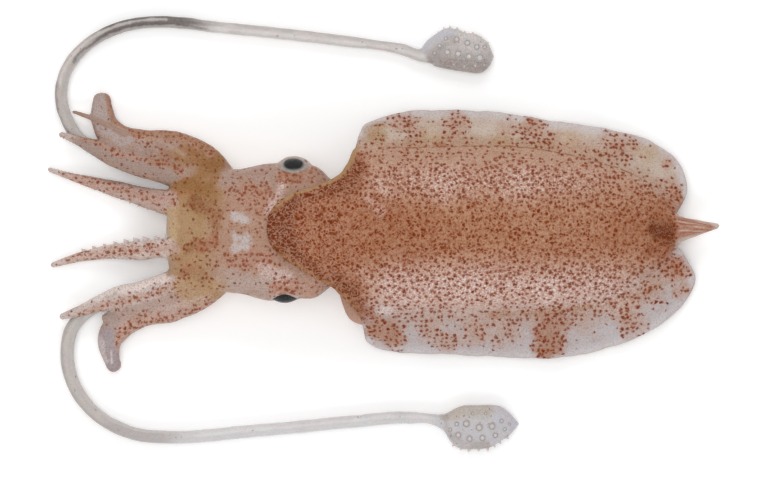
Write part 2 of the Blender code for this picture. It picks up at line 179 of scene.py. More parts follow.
def limbPoints(rows, shares, turns, ends=(0.0, 0.02)):
    # a limb through rows of x, y, clear height under it, width and thickness, rounded over its ends
    middle = alongPath(rows, shares)
    forward = heading(rows, shares, limbSize["step"])
    forward[:, 1] *= smooth(*limbSize["clubTurn"], middle[:, 0])
    forward /= np.linalg.norm(forward, axis=1)[:, None]
    closing = rounded(shares, *ends)
    angle = 2 * math.pi * turns
    out = signedPower(np.sin(angle), 2 / limbSize["square"]) * middle[:, 3] / 2 * closing
    up = signedPower(np.cos(angle), 2 / limbSize["square"]) * middle[:, 4] / 2 * closing
    return np.column_stack(
        [
            middle[:, 0] - forward[:, 1] * out,
            middle[:, 1] + forward[:, 0] * out,
            middle[:, 2] + middle[:, 4] / 2 + up,
        ]
    )


def shifted(rows, shift, start=0.0, end=1.0, count=14):
    # the line of a limb, moved sideways by shift; the limb's left is positive
    shares = np.linspace(start, end, count)
    forward = heading(rows, shares, limbSize["lineStep"])
    forward /= np.linalg.norm(forward, axis=1)[:, None]
    return alongPath(rows, shares)[:, :2] + np.column_stack([-forward[:, 1], forward[:, 0]]) * shift


def ripple(points, size, seed):
    # smooth noise between -1 and 1 at each point, with lumps of the given size
    return np.array([noise.noise(Vector(point / size) + Vector((seed, 0, 0))) for point in points])


def applyModifier(piece, kind, **settings):
    selectOnly(piece)
    modifier = piece.modifiers.new(kind.lower(), kind)
    for key, value in settings.items():
        setattr(modifier, key, value)
    bpy.ops.object.modifier_apply(modifier=modifier.name)


def joinPieces(pieces, name):
    selectOnly(pieces[0])
    for piece in pieces[1:]:
        piece.select_set(True)
    bpy.ops.object.join()
    pieces[0].name = pieces[0].data.name = name
    return pieces[0]


class Paint:
    # a tone and some shares at every point of a piece, laid on in soft, ragged strokes seen from above:
    # dots and large spots, glint (where painted highlight specks go), net lines over the spots,
    # and the distance in mm from a fine line
    laidShares = ("dots", "large", "glint", "net")
    lumps = ((1.3, 2.6, 4.7), (0.7, 0.9, 9.1))  # depth, size and seed of the noise that frays a stroke
    fray = 0.45  # share of a narrow stroke's width by which its edge may wander

    def __init__(self, piece, colour, **shares):
        self.piece = piece
        self.points = pointsOf(piece)
        self.normals = normalsOf(piece)
        count = len(self.points)
        self.tone = np.tile(np.array(tint(*colour), float), (count, 1))
        shares = {"dots": 0.0, "large": 0.0, "glint": 0.0, "net": 0.28, "seam": 9.0, **shares}
        self.shares = {name: np.full(count, float(value)) for name, value in shares.items()}
        self.ragged = sum(depth * ripple(self.points, size, seed) for depth, size, seed in self.lumps)

    def away(self, line):
        # distance from a line of points, seen from above
        best = np.full(len(self.points), np.inf)
        flat = self.points[:, :2]
        line = np.array(line, float)
        if len(line) == 1:
            return np.linalg.norm(flat - line[0], axis=1)
        for a, b in zip(line, line[1:]):
            t = np.clip(((flat - a) @ (b - a)) / ((b - a) @ (b - a)), 0, 1)
            best = np.minimum(best, np.linalg.norm(flat - a - t[:, None] * (b - a), axis=1))
        return best

    def blend(self, share, colour=None, **laid):
        if colour is not None:
            self.tone += (np.array(tint(*colour)) - self.tone) * share[:, None]
        for name, value in laid.items():
            self.shares[name] += (value - self.shares[name]) * share

    def stroke(self, line, reach, soft, amount=1.0, where=None, colour=None, **laid):
        away = self.away(line) + self.ragged * min(1.0, self.fray * (reach + soft))
        share = amount * (1 - smooth(reach, reach + soft, away))
        self.blend(share if where is None else share * where, colour, **laid)

    def strokes(self, rows, where=None):
        # rows of line, reach, softness, amount, colour and then shares in the order of laidShares
        for line, reach, soft, amount, colour, *shares in rows:
            laid = {name: share for name, share in zip(self.laidShares, shares) if share is not None}
            self.stroke(line, reach, soft, amount, where, colour, **laid)

    def finish(self):
        mesh = self.piece.data
        colour = mesh.attributes.new("tone", "FLOAT_COLOR", "POINT")
        rgba = np.column_stack([self.tone, np.ones(len(self.tone))])
        colour.data.foreach_set("color", rgba.ravel())
        for name, values in self.shares.items():
            mesh.attributes.new(name, "FLOAT", "POINT").data.foreach_set("value", values)


class Socket:
    # an output socket that adds a Math node for each operator used on it
    def __init__(self, shader, output):
        self.shader, self.output = shader, output

    def maths(self, operation, *values):
        return self.shader.node("ShaderNodeMath", {"operation": operation}, dict(enumerate(values)))[0]

    def __add__(self, other):
        return self.maths("ADD", self, other)

    def __sub__(self, other):
        return self.maths("SUBTRACT", self, other)

    def __mul__(self, other):
        return self.maths("MULTIPLY", self, other)

    def __truediv__(self, other):
        return self.maths("DIVIDE", self, other)

    def __pow__(self, other):
        return self.maths("POWER", self, other)

    def __abs__(self):
        return self.maths("ABSOLUTE", self)

    __radd__ = __add__
    __rmul__ = __mul__


class Node:
    # a shader node whose outputs are read by name or number
    def __init__(self, shader, made):
        self.shader, self.made = shader, made

    def __getitem__(self, key):
        return Socket(self.shader, self.made.outputs[key])


class Shader:
    def __init__(self, name, **fixed):
        self.material = bpy.data.materials.new(name)
        self.material.use_nodes = True
        self.tree = self.material.node_tree
        self.surface = self.tree.nodes["Principled BSDF"]
        for key, value in fixed.items():
            self.surface.inputs[key.replace("_", " ")].default_value = value

    def plug(self, target, value):
        if isinstance(value, Socket):
            self.tree.links.new(value.output, target)
        else:
            target.default_value = value

    def node(self, kind, settings=None, sockets=None):
        made = self.tree.nodes.new(kind)
        for key, value in (settings or {}).items():
            setattr(made, key, value)
        for key, value in (sockets or {}).items():
            self.plug(made.inputs[key], value)
        return Node(self, made)

    def place(self, shift=0.0):
        # object coordinates, moved
        here = self.node("ShaderNodeTexCoord")["Object"]
        sockets = {"Vector": here, "Location": (shift, shift, shift)}
        return self.node("ShaderNodeMapping", {}, sockets)["Vector"]

    def vector(self, operation, *values):
        return self.node("ShaderNodeVectorMath", {"operation": operation}, dict(enumerate(values)))

    def attribute(self, name):
        return self.node("ShaderNodeAttribute", {"attribute_name": name})

    def smooth(self, value, low, high, start=0.0, end=1.0):
        sockets = {"Value": value, "From Min": low, "From Max": high, "To Min": start, "To Max": end}
        return self.node("ShaderNodeMapRange", {"interpolation_type": "SMOOTHSTEP"}, sockets)["Result"]

    def noise(self, place, size, detail=2.0, rough=0.5):
        sockets = {"Vector": place, "Scale": 1 / (size * mm), "Detail": detail, "Roughness": rough}
        return self.node("ShaderNodeTexNoise", {}, sockets)["Fac"]

    def mix(self, share, first, second, blend="MIX"):
        pair = [value if isinstance(value, Socket) else (*value, 1.0) for value in (first, second)]
        settings = {"data_type": "RGBA", "blend_type": blend, "clamp_factor": True}
        return self.node("ShaderNodeMix", settings, {0: share, 6: pair[0], 7: pair[1]})[2]

    def bump(self, height, strength, reach):
        sockets = {"Strength": strength, "Distance": reach * mm, "Height": height}
        return self.node("ShaderNodeBump", {}, sockets)["Normal"]

    def feed(self, **links):
        for key, value in links.items():
            self.plug(self.surface.inputs[key.replace("_", " ")], value)
        return self.material


spotShape = {
    "crowding": 1.6,  # over 1, most spots are near the smallest size
    "least": 0.35,  # size of the spots where the skin has few, against where they crowd
    "fading": 0.05,  # how gently a spot appears as the share rises
    "faintest": 0.72,
}


def spotMask(shader, place, look, share, shift):
    # round pigment spots on the skin coordinates, more of them and larger where share is high
    sockets = {"Vector": place, "Location": (shift, shift * 0.7, 0)}
    moved = shader.node("ShaderNodeMapping", {}, sockets)["Vector"]
    sockets = {"Vector": moved, "Scale": 1 / (look["cell"] * mm), "Randomness": look["loose"]}
    cells = shader.node("ShaderNodeTexVoronoi", {"voronoi_dimensions": "2D", "feature": "F1"}, sockets)
    luck = shader.node("ShaderNodeSeparateColor", {}, {0: cells["Color"]})
    small, large = look["reach"]
    least, faintest = spotShape["least"], spotShape["faintest"]
    edge = small + (large - small) * (luck[0] ** spotShape["crowding"]) * (least + (1 - least) * share)
    spot = shader.smooth(cells["Distance"] - edge, look["soft"], -look["soft"])
    present = shader.smooth(luck[1] - share * look["many"], 0.0, -spotShape["fading"])
    return spot * present * (faintest + (1 - faintest) * luck[2])


skinLayers = {
    # noises in the skin: how far each is moved from the others, size of its lumps, detail, roughness,
    # and the two values between which it begins to show; grain and cross show along their middle value
    "cloud": (0.0, 4.0, 3.0, 0.5, 0.36, 0.68),
    "patch": (0.5, 1.3, 2.0, 0.5, 0.42, 0.66),
    "grain": (0.3, 0.45, 1.0, 0.5, 0.1, 0.02),
    "sand": (0.7, 0.3, 1.0, 0.6, 0.52, 0.36),
    "gritAndGlint": (0.9, 0.36, 0.5, 0.5, 0.51, 0.6),
    "cross": (0.4, 0.85, 1.0, 0.5, 0.08, 0.02),
}
skinRelief = {"grain": 0.45, "patch": 0.8, "gritAndGlint": 0.5, "spots": 0.25, "seam": 0.6, "depth": 0.22}


def skinNoises(shader):
    # each noise's value, and how much of its layer shows
    values, shown = {}, {}
    for name, (shift, size, detail, rough, low, high) in skinLayers.items():
        values[name] = shader.noise(shader.place(shift), size, detail, rough)
        level = abs(values[name] - 0.5) if name in ("grain", "cross") else values[name]
        shown[name] = shader.smooth(level, low, high)
    return values, shown


def skinPlace(shader, wobble):
    # the flat skin coordinates, stirred a little so that no row of spots is straight
    sockets = {"Vector": shader.place(), "Scale": 1 / (0.7 * mm), "Detail": 1.0}
    drift = shader.node("ShaderNodeTexNoise", {}, sockets)["Color"]
    flat = shader.attribute("spread")["Vector"]
    return shader.vector("MULTIPLY_ADD", drift, (wobble * mm,) * 3, flat)["Vector"]


def skinMaterial(name, look):
    glossy = {"Coat_Weight": look["coat"], "Specular_IOR_Level": look["shine"]}
    soft = {"Subsurface_Weight": look["subsurface"], "Subsurface_Scale": 0.8 * mm}
    shader = Shader(name, IOR=1.4, Coat_Roughness=0.2, **glossy, **soft)
    tone = shader.attribute("tone")["Color"]
    names = ("dots", "large", "glint", "net", "seam")
    share, large, glint, net, fromSeam = (shader.attribute(each)["Fac"] for each in names)
    place = skinPlace(shader, look["wobble"])
    values, shown = skinNoises(shader)

    def darken(amount, colour, shade="deep"):
        return shader.mix(amount, colour, look[shade], "DARKEN")

    # clouds, patches and a fine grain, then wandering pale lines and white specks between the spots; the
    # specks are painted highlight glints, partly the skin's own whitish cells
    colour = darken(shown["cloud"] * look["cloud"], tone)
    colour = darken(shown["patch"] * look["patch"] * share, colour)
    colour = darken(shown["sand"] * look["grain"] * (0.55 + 0.45 * share), colour)
    thread = shader.mix(look["thread"], tone, look["bright"])
    # where the glint share is laid, the pale lines grow stronger and white glint specks appear on raised
    # grains: painted highlight
    colour = shader.mix(shown["grain"] * look["weave"] * (0.5 + 0.5 * glint), colour, thread)
    colour = shader.mix(shown["gritAndGlint"] * glint * look["gritty"], colour, look["white"])
    # pigment: rusty rims, little spots, spots, then large ones with their rings
    halo = dict(look, reach=[reach * 1.55 for reach in look["reach"]], soft=0.2)
    little = dict(look, cell=look["cell"] * 0.58, many=look["many"] * 0.75)
    wide = dict(look, cell=1.25, loose=0.75, reach=(0.17, 0.32), soft=0.06, many=1.0)
    ring = dict(wide, reach=(0.3, 0.46), soft=0.16)
    colour = darken(spotMask(shader, place, halo, share, 0.011) * look["halo"], colour, "brown")
    colour = darken(spotMask(shader, place, little, share, 0.037) * 0.5, colour, "brown")
    spots = spotMask(shader, place, look, share, 0.011)
    colour = shader.mix(spots * 0.92, colour, look["spot"])
    colour = shader.mix(spotMask(shader, place, ring, large, 0.053) * 0.45, colour, look["brown"])
    colour = shader.mix(spotMask(shader, place, wide, large, 0.053) * 0.95, colour, look["spot"])
    # pale lines cross the spots here and there, and a fine crease runs along the fins
    colour = shader.mix(shown["cross"] * net * share, colour, thread)
    seam = shader.smooth(abs(fromSeam), 0.26, 0.08)
    broken = shader.smooth(values["patch"], 0.4, 0.55, 0.25, 1.0)
    colour = shader.mix(seam * look["crease"] * broken, colour, look["deep"])
    relief = skinRelief
    height = values["grain"] * relief["grain"] + values["patch"] * relief["patch"]
    height = height + shown["gritAndGlint"] * glint * relief["gritAndGlint"] - spots * relief["spots"] - seam * relief["seam"]
    wet = shader.smooth(values["patch"] * 0.6 + values["grain"] * 0.4, 0.38, 0.62, *look["rough"])
    return shader.feed(
        Base_Color=colour, Roughness=wet, Normal=shader.bump(height, look["bump"], relief["depth"])
    )


mantleSize = {
    # along x: half-width, height of the back, of the fin line and of the belly
    "sections": [
        (-26.0, 17.6, 14.9, 9.4, 0.0),
        (-12.0, 18.2, 17.4, 9.2, 0.0),
        (4.0, 18.9, 19.4, 8.8, 0.0),
        (20.0, 19.1, 19.6, 8.4, 0.0),
        (36.0, 18.2, 17.9, 7.7, 0.0),
        (48.0, 15.8, 14.8, 6.6, 0.0),
        (57.0, 12.2, 11.4, 5.4, 0.3),
        (63.0, 7.4, 8.2, 4.4, 1.1),
        (66.2, 3.4, 6.6, 4.0, 1.6),
        (70.5, 1.8, 5.6, 3.9, 2.2),
        (fleshHigh[0], 0.45, 4.4, 3.9, 3.4),
    ],
    # the front margin on each side: degrees round from the middle of the back, and its x
    "marginRight": [
        (0, -25.0), (4, -24.95), (12, -24.2), (21, -21.7), (26.5, -18.6), (32, -13.6), (39, -9.9),
        (52, -7.6), (73, -6.5), (90, -5.8), (125, -4.4), (180, -4.0),
    ],
    "marginLeft": [
        (0, -25.0), (8.5, -24.2), (20.5, -20.7), (30, -16.6), (36.5, -13.5), (41, -11.4), (51, -9.0),
        (65, -6.7), (82, -5.4), (90, -5.0), (125, -4.4), (180, -4.0),
    ],
    "axisY": 0.8,
    "notchX": 65.0,
    "tailY": 1.8,
    "wall": 1.4,
    "pocket": 6.0,
    "pocketMiddle": (0.0, 8.8),  # x and height of the point that closes the pocket
    "tipHeight": 3.9,
    "fullSide": 0.9,  # these three say how far a section bulges beyond an ellipse
    "fullBack": 2.3,
    "fullBelly": 2.6,
    "pocketEnd": 0.05,  # share of the rings inside the pocket
    "rimEnd": 0.09,  # and where the rings that go round its rim end
    "ringPower": 0.92,  # under 1, the rings crowd towards the tail
    "rings": 250,
    "sides": 260,
    "shares": (0.36, 0.6, 0.8),  # where the back, the fin's top and the fin's underside end, on each side
    "degrees": (80.0, 98.0),  # where the fin leaves the mantle
    "blend": 34,  # passes that soften the line where the fin starts
    "blendWidth": 0.055,  # and the share of the columns that they reach
    "blendPull": 0.9,
    "unrolled": (0.4, 0.6),  # the skin coordinates are partly laid flat and partly seen from above
    "relief": (0.2, 7.0, 3.1),  # depth, size and seed of the swellings in the skin
}
finSize = {
    # free edge from the front corner round to the tail notch: x, y, height
    1: [
        (-6.2, 19.2, 7.2), (-5.1, 22.4, 5.0), (-4.3, 24.3, 3.8), (-1.8, 25.5, 3.0), (0.7, 26.4, 2.6),
        (4.2, 27.3, 2.2),
        (14.0, 27.8, 1.6), (26.0, 27.2, 2.4), (38.0, 25.4, 1.4), (50.0, 23.6, 2.4), (60.5, 20.6, 1.3),
        (66.6, 15.6, 1.8), (68.3, 9.6, 2.3), (65.8, 4.4, 3.2),
    ],
    -1: [
        (-5.2, -18.6, 7.2), (-4.2, -21.8, 4.8), (-3.8, -23.8, 3.6), (-1.8, -25.4, 2.6), (2.2, -26.4, 1.7),
        (14.0, -27.0, 2.5), (26.0, -27.6, 1.4), (38.0, -27.9, 2.3), (50.0, -25.8, 1.3), (61.0, -21.2, 2.0),
        (67.6, -15.6, 1.4), (70.2, -10.2, 2.0), (67.4, -4.2, 3.2),
    ],
    "edgeHalf": 0.3,
    "edgeStart": 0.95,  # the edge rounds off over the last of the fin's width
    "edgeShare": 0.05,
    "edgeLowest": 0.45,
    "rootEnd": 65.4,
    "overrun": 0.2,  # a fin may go on this far past the end of its root
    "full": 3.0,  # width from which a fin has its whole thickness
    "rootTaper": 4,  # it grows to that thickness over one part in this many of its width
    "fall": (0.7, 0.3),  # shares of a fin's fall that come evenly and towards its edge
    "waves": 0.3,  # height of the small waves along the free edge
    "wavePaces": ((41, 1, 0.55), (77, 2, 0.45)),  # pace, how the sides differ, and share of each wave
    "frill": 0.08,  # how far the free edge wanders in and out
}


def marginX(degrees):
    folded = np.abs(degrees)
    right = between(mantleSize["marginRight"], folded)[:, 0]
    left = between(mantleSize["marginLeft"], folded)[:, 0]
    return np.where(degrees >= 0, right, left)


def mantlePoints(x, degrees, inset):
    size = mantleSize
    width, back, line, belly = between(size["sections"], x).T
    across, up = np.sin(np.radians(degrees)), np.cos(np.radians(degrees))
    upper = np.abs(across) ** size["fullSide"]
    lower = np.abs(across) ** (2 / size["fullBelly"])
    y = np.sign(across) * np.where(up >= 0, upper, lower)
    z = np.where(
        up >= 0,
        line + (back - line) * (1 - upper ** size["fullBack"]),
        line - (line - belly) * np.abs(up) ** (2 / size["fullBelly"]),
    )
    tailShare = np.clip((x - size["notchX"]) / (fleshHigh[0] - size["notchX"]), 0, 1)
    middle = size["axisY"] + (size["tailY"] - size["axisY"]) * tailShare
    z = line + (z - line) * (1 - inset / (line - belly))
    return np.column_stack([x, middle + y * width * (1 - inset / width), z])


def ringPoints(along, degrees):
    # rings run from inside the front pocket, round its rim and back to the tip of the spine
    size = mantleSize
    front = marginX(degrees)
    pocketEnd, rimEnd = size["pocketEnd"], size["rimEnd"]
    inside = np.clip(along / pocketEnd, 0, 1)
    bend = np.clip((along - pocketEnd) / (rimEnd - pocketEnd), 0, 1) * math.pi
    outside = np.clip((along - rimEnd) / (1 - rimEnd), 0, 1) ** size["ringPower"]
    inset = size["wall"] * (1 + np.cos(bend)) / 2
    x = front + size["pocket"] * (1 - inside) - size["wall"] / 2 * np.sin(bend)
    x = x + (fleshHigh[0] - x) * outside
    return mantlePoints(np.minimum(x, fleshHigh[0]), degrees, inset), outside > 0


def finEdge(side, share):
    edge = alongPath(finSize[side], share)
    waves = [part * np.sin(share * pace + turn * side) for pace, turn, part in finSize["wavePaces"]]
    fade = np.sin(math.pi * share) ** 0.5
    edge[:, 2] = np.maximum(edge[:, 2] + finSize["waves"] * sum(waves) * fade, finSize["edgeLowest"])
    frill = np.sin(share * 67 + side) + 0.8 * np.sin(share * 139 + 4 * side) * np.sin(share * 31)
    edge[:, 1] += side * finSize["frill"] * frill * fade
    return edge


def bodyPlace(along, around):
    # the mantle's rings, each drawn out into a fin on both sides
    size, fins = mantleSize, finSize
    backEnd, topEnd, underEnd = size["shares"]
    turn = around * 2 - 1
    side = np.where(turn >= 0, 1.0, -1.0)
    share = np.abs(turn)
    upperRoot, lowerRoot = size["degrees"]
    onTop = upperRoot * share / backEnd
    below = lowerRoot + (180 - lowerRoot) * (share - underEnd) / (1 - underEnd)
    degrees = np.select([share <= backEnd, share >= underEnd], [onTop, below], 0.0)
    points, _ = ringPoints(along, degrees * side)
    onFin = (share > backEnd) & (share < underEnd)
    upper = share < topEnd
    out = np.where(upper, (share - backEnd) / (topEnd - backEnd), (underEnd - share) / (underEnd - topEnd))
    root, _ = ringPoints(along, side * np.where(upper, upperRoot, lowerRoot))
    tip, outer = ringPoints(along, side * (upperRoot + lowerRoot) / 2)
    for hand in (1, -1):
        here = onFin & outer & (side == hand)
        start = marginX(np.array([90.0 * hand]))[0]
        finShare = np.clip((tip[:, 0] - start) / (fins["rootEnd"] - start), 0, 1)
        here &= tip[:, 0] < fins["rootEnd"] + fins["overrun"]
        tip[here] = finEdge(hand, finShare)[here]
    out = np.clip(out, 0, 1)[:, None]
    blade = root + (tip - root) * out
    drop = tip[:, 2] - root[:, 2]
    evenly, late = fins["fall"]
    blade[:, 2] = root[:, 2] + drop * (evenly * out + late * out**2)[:, 0]
    ending = np.clip((out - fins["edgeStart"]) / fins["edgeShare"], 0, 1)
    half = fins["edgeHalf"] * np.minimum(out * fins["rootTaper"], 1) * np.sqrt(1 - ending**2)
    long = np.minimum(np.linalg.norm(tip - root, axis=1) / fins["full"], 1)
    blade[:, 2] += half[:, 0] * long * np.where(upper, 1, -1)
    points[onFin] = blade[onFin]
    closed = (along < 1e-6) | (along > 1 - 1e-6)
    pocketX, pocketHeight = size["pocketMiddle"]
    inPocket = (pocketX, size["axisY"], pocketHeight)
    atTip = (fleshHigh[0], size["tailY"], size["tipHeight"])
    points[closed] = np.where(along[closed, None] < 0.5, inPocket, atTip)
    return points


def softenRoots(points):
    # the fillet where a fin starts: passes of averaging between neighbouring columns
    size = mantleSize
    share = np.abs(np.linspace(-1, 1, len(points)))
    softness = np.exp(-(((share - size["shares"][0]) / size["blendWidth"]) ** 2))[:, None, None]
    for _ in range(size["blend"]):
        middle = (points[:-2] + points[2:]) / 2
        points[1:-1] += (middle - points[1:-1]) * softness[1:-1] * size["blendPull"]


def unrolled(points):
    # skin coordinates, measured round each ring from the middle of the back
    steps = np.linalg.norm(np.diff(points[:, :, 1:], axis=0), axis=2)
    reach = np.concatenate([np.zeros((1, points.shape[1])), np.cumsum(steps, axis=0)])
    reach -= reach[len(points) // 2]
    laidFlat, fromAbove = mantleSize["unrolled"]
    across = laidFlat * reach + fromAbove * points[:, :, 1]
    return np.column_stack([points[:, :, 0].ravel(), across.ravel()])


def makeBody():
    size = mantleSize
    piece, along, around = flatGrid("mantle_and_fins", size["rings"], size["sides"])
    points = bodyPlace(along, around).reshape(size["sides"] + 1, size["rings"] + 1, 3)
    softenRoots(points)
    spread = unrolled(points)
    points = points.reshape(-1, 3)
    points[:, 2] = np.maximum(points[:, 2], 0.0)
    setPoints(piece, points)
    writeSpread(piece, spread)
    closeMesh(piece)
    points = pointsOf(piece)
    bulk = smooth(3.0, 9.0, fleshHigh[0] - points[:, 0]) * smooth(0.4, 3.0, points[:, 2])
    depth, lump, seed = size["relief"]
    points += normalsOf(piece) * (depth * ripple(points, lump, seed) * bulk)[:, None]
    setPoints(piece, np.clip(points, fleshLow, fleshHigh))
    return piece


def paintFins(paint, off, onBack):
    # warmer on the right, cooler on the left, clear at the free edge
    for side, tone, inner in ((1, (190, 179, 168), (178, 159, 141)), (-1, (181, 180, 184), (172, 158, 152))):
        onFin = (1 - onBack) * (off * side > 0)
        fromEdge = paint.away(finEdge(side, np.linspace(0, 1, 90))[:, :2])
        paint.blend(onFin, tone, dots=0.06)
        paint.blend(onFin * smooth(4.5, 9.5, fromEdge), inner, dots=0.45)
        paint.blend(onFin * smooth(2.6, 0.3, fromEdge) * 0.8, (200, 200, 205), dots=0.0)
    # clusters of spots across the fins: place, reach, share
    finPatches = [
        ((4.5, 24.8), 3.4, 0.9), ((7.5, 21.8), 3.4, 0.7), ((16.5, 24.8), 3.6, 0.9),
        ((15.0, 21.2), 4.2, 0.7), ((28.0, 23.0), 2.6, 0.6), ((33.5, 23.0), 4.4, 1.0),
        ((37.5, 20.4), 3.4, 0.7), ((53.0, 19.5), 4.4, 0.9), ((49.0, 15.8), 3.4, 0.6),
        ((63.6, 15.5), 2.0, 0.7), ((64.0, 10.0), 3.6, 0.9), ((60.0, 10.0), 3.0, 0.7),
        ((-1.5, -21.0), 3.2, 1.0), ((2.5, -23.0), 3.2, 1.0), ((10.5, -21.0), 3.6, 0.7),
        ((14.5, -24.0), 2.8, 0.7), ((20.5, -22.0), 3.6, 0.8), ((37.0, -20.5), 4.4, 0.8),
        ((38.0, -24.0), 3.4, 0.8), ((36.5, -26.0), 2.8, 0.75), ((54.5, -16.0), 4.0, 0.9),
        ((56.0, -20.5), 3.4, 0.8), ((65.5, -8.0), 3.6, 0.9), ((67.0, -12.5), 2.6, 0.8),
        ((45.0, -20.5), 3.0, 0.35), ((27.0, -22.0), 4.0, 0.6), ((61.0, -14.0), 3.6, 0.5),
        ((62.0, -6.0), 3.4, 0.9), ((59.5, -9.8), 3.2, 0.7),
    ]
    pink = {"colour": (178, 152, 139), "dots": 0.4, "large": 1.0}
    for middle, reach, share in finPatches:
        paint.stroke([middle], reach * 0.3, reach, share, 1 - onBack, **pink)
    darker = (([(38, -18.6), (37, -23)], 2.2), ([(37, -25.6)], 0.9), ([(-2, -19.6), (1, -21.6)], 1.6))
    for line, reach in darker:
        paint.stroke(line, reach * 0.6, 4.2, 0.6, 1 - onBack, colour=(152, 114, 98), dots=0.6, large=0.9)
    paint.strokes([([(-1.8, 21.6)], 1.4, 3.0, 0.75, (156, 130, 92), 0.6)], 1 - onBack)
    for middle in ((10.8, 21.5), (26.4, 20.4), (41.5, 20.4), (60.0, 18.0)):
        paint.stroke([middle], 0.6, 3.4, 0.55, colour=(178, 152, 116), dots=0.15)


def paintBack(paint, off, onBack):
    # a brown band along the middle, pale shoulders made brighter still with painted highlight, duller flanks
    x = paint.points[:, 0]
    middleBand = onBack * np.exp(-((off / 8.8) ** 4))
    paint.blend(middleBand, (169, 129, 101), dots=1.3, net=0.4)
    paint.strokes([
        ([(-7, 0), (4, -1), (15, 0), (31, 1), (49, 0), (60, 0)], 1.6, 4.0, 0.6, (155, 112, 81), 1.35),
        ([(0, 4), (11, 3)], 0.8, 3.0, 0.5, (150, 98, 68)),
    ])
    paint.strokes([
        ([(-5, 1), (6, -1)], 4.0, 6.0, 0.45, (136, 82, 52)),
        ([(36, 3), (54, -3)], 4.0, 8.0, 0.35, (182, 146, 124)),
    ], onBack)
    paint.strokes([([(27, -5), (45, -4)], 1.0, 3.0, 0.4, (160, 112, 84))])
    shoulders = (
        # each one's middle and half-width, where along x it starts and ends, and how it is laid on
        (10.6, 3.2, (-6, 6, 40, 54), 0.62, (168, 129, 110), 1.0),
        (-12.8, 4.8, (-4, 4, 48, 62), 0.8, (198, 171, 164), 0.86),
    )
    # the shoulder bands are paler in their own colour and carry painted highlight glints
    for middle, reach, (start, full, fade, end), share, colour, dots in shoulders:
        band = np.exp(-(((off - middle) / reach) ** 2)) * smooth(start, full, x) * smooth(end, fade, x)
        paint.blend(band * share, colour, dots=dots, glint=1.0)
    # painted highlights: soft pale spots of glint on the back
    for middle in ((13.5, 11.0), (30.5, 10.8), (19.0, -11.5), (36.0, -13.0), (2.0, -13.0)):
        paint.stroke([middle], 1.0, 5.5, 0.34, onBack, colour=(208, 184, 178), glint=1.2)
    flank = smooth(13.5, 16.5, off) * smooth(21.0, 18.0, off) * smooth(56, 44, x)
    paint.blend(flank * 0.8, (172, 142, 122), dots=0.5, glint=0.1)
    for line in ([(-2, 11.3), (2.2, 8.2)], [(-3.8, 8.2), (-0.4, 4.6)], [(-5, -8), (-1, -11)]):
        paint.stroke(line, 0.1, 1.5, 0.6, colour=(204, 176, 164), glint=0.7)
    paint.strokes([([(0.2, -16.7)], 0.5, 1.6, 0.8, (200, 192, 192), 0.3, None, 0.6)])


def paintCreases(paint, off, width, onBack):
    # a thin crease where each fin starts, and painted shade along the left one's fold
    x = paint.points[:, 0]
    wander = 0.2 * np.sin(x * 0.17) + 0.05 * np.sin(x * 1.3)
    onSeam = ((off > 0) & (x > 0.5) & (x < 58)).astype(float)
    paint.blend(onSeam, seam=off - width + 0.4 + wander)
    paint.strokes([
        ([(12, 19.8), (13.6, 19.6)], 0.1, 0.7, 0.8, (142, 72, 44)),
        ([(6.2, 27), (5.6, 20), (4.6, 14.6)], 0.05, 0.4, 0.45, (136, 96, 76)),
    ])
    paint.strokes([([(3, 19.4), (20, 20.2), (36, 19.0)], 0.5, 2.6, 0.5, (160, 132, 104))], 1 - onBack)
    # painted shade: a soft darker band along the fold where the left fin starts
    paint.strokes([
        ([(24, -17.9), (34, -17.4), (45, -16.6)], 0.3, 1.1, 0.6, (150, 112, 84)),
        ([(45, -16.6), (58, -13.4), (64, -10.6)], 0.1, 0.9, 0.35, (160, 132, 104)),
    ])


def paintLobe(paint, off):
    # over the head: brown and crowded, darkest just inside its tan edge
    x = paint.points[:, 0]
    outside = np.full(90, mantleSize["rimEnd"] + 0.001)
    margin = ringPoints(outside, np.linspace(-86, 86, 90))[0][:, :2]
    fromEdge = paint.away(margin)
    front = smooth(1, -14, x) * smooth(16.5, 10.0, np.abs(off))
    paint.blend(front * 0.85, (138, 81, 52), dots=1.7, glint=0.1, net=0.5)
    paint.strokes([
        (margin[20:-18], 1.4, 3.8, 0.9, (106, 45, 18), 2.3, None, 0.0, 0.4),
        ([(-22, 5.5), (-23, 2), (-21.6, -3)], 1.6, 4.0, 0.9, (94, 32, 8), 2.6, None, None, 0.34),
        ([(-16, 3.5), (-11, 2), (-12, -5)], 1.0, 3.5, 0.5, (124, 64, 34), 2.0, None, None, 0.5),
    ])
    for line in ([(-6.5, 14.5), (-7, 12), (-10, 10.3)], [(-10.3, -10.8), (-7.5, -13.8), (-5.2, -17.6)]):
        paint.stroke(line, 0.9, 2.8, 0.95, colour=(106, 47, 20), dots=2.2, glint=0.0, net=0.4)
    tan = smooth(0.95, 0.5, fromEdge) * smooth(2.5, 6.5, np.abs(off)) * smooth(-2.0, -4.5, x)
    paint.blend(tan * np.where(off > 0, 0.9, 0.5), (158, 130, 92), dots=0.05)


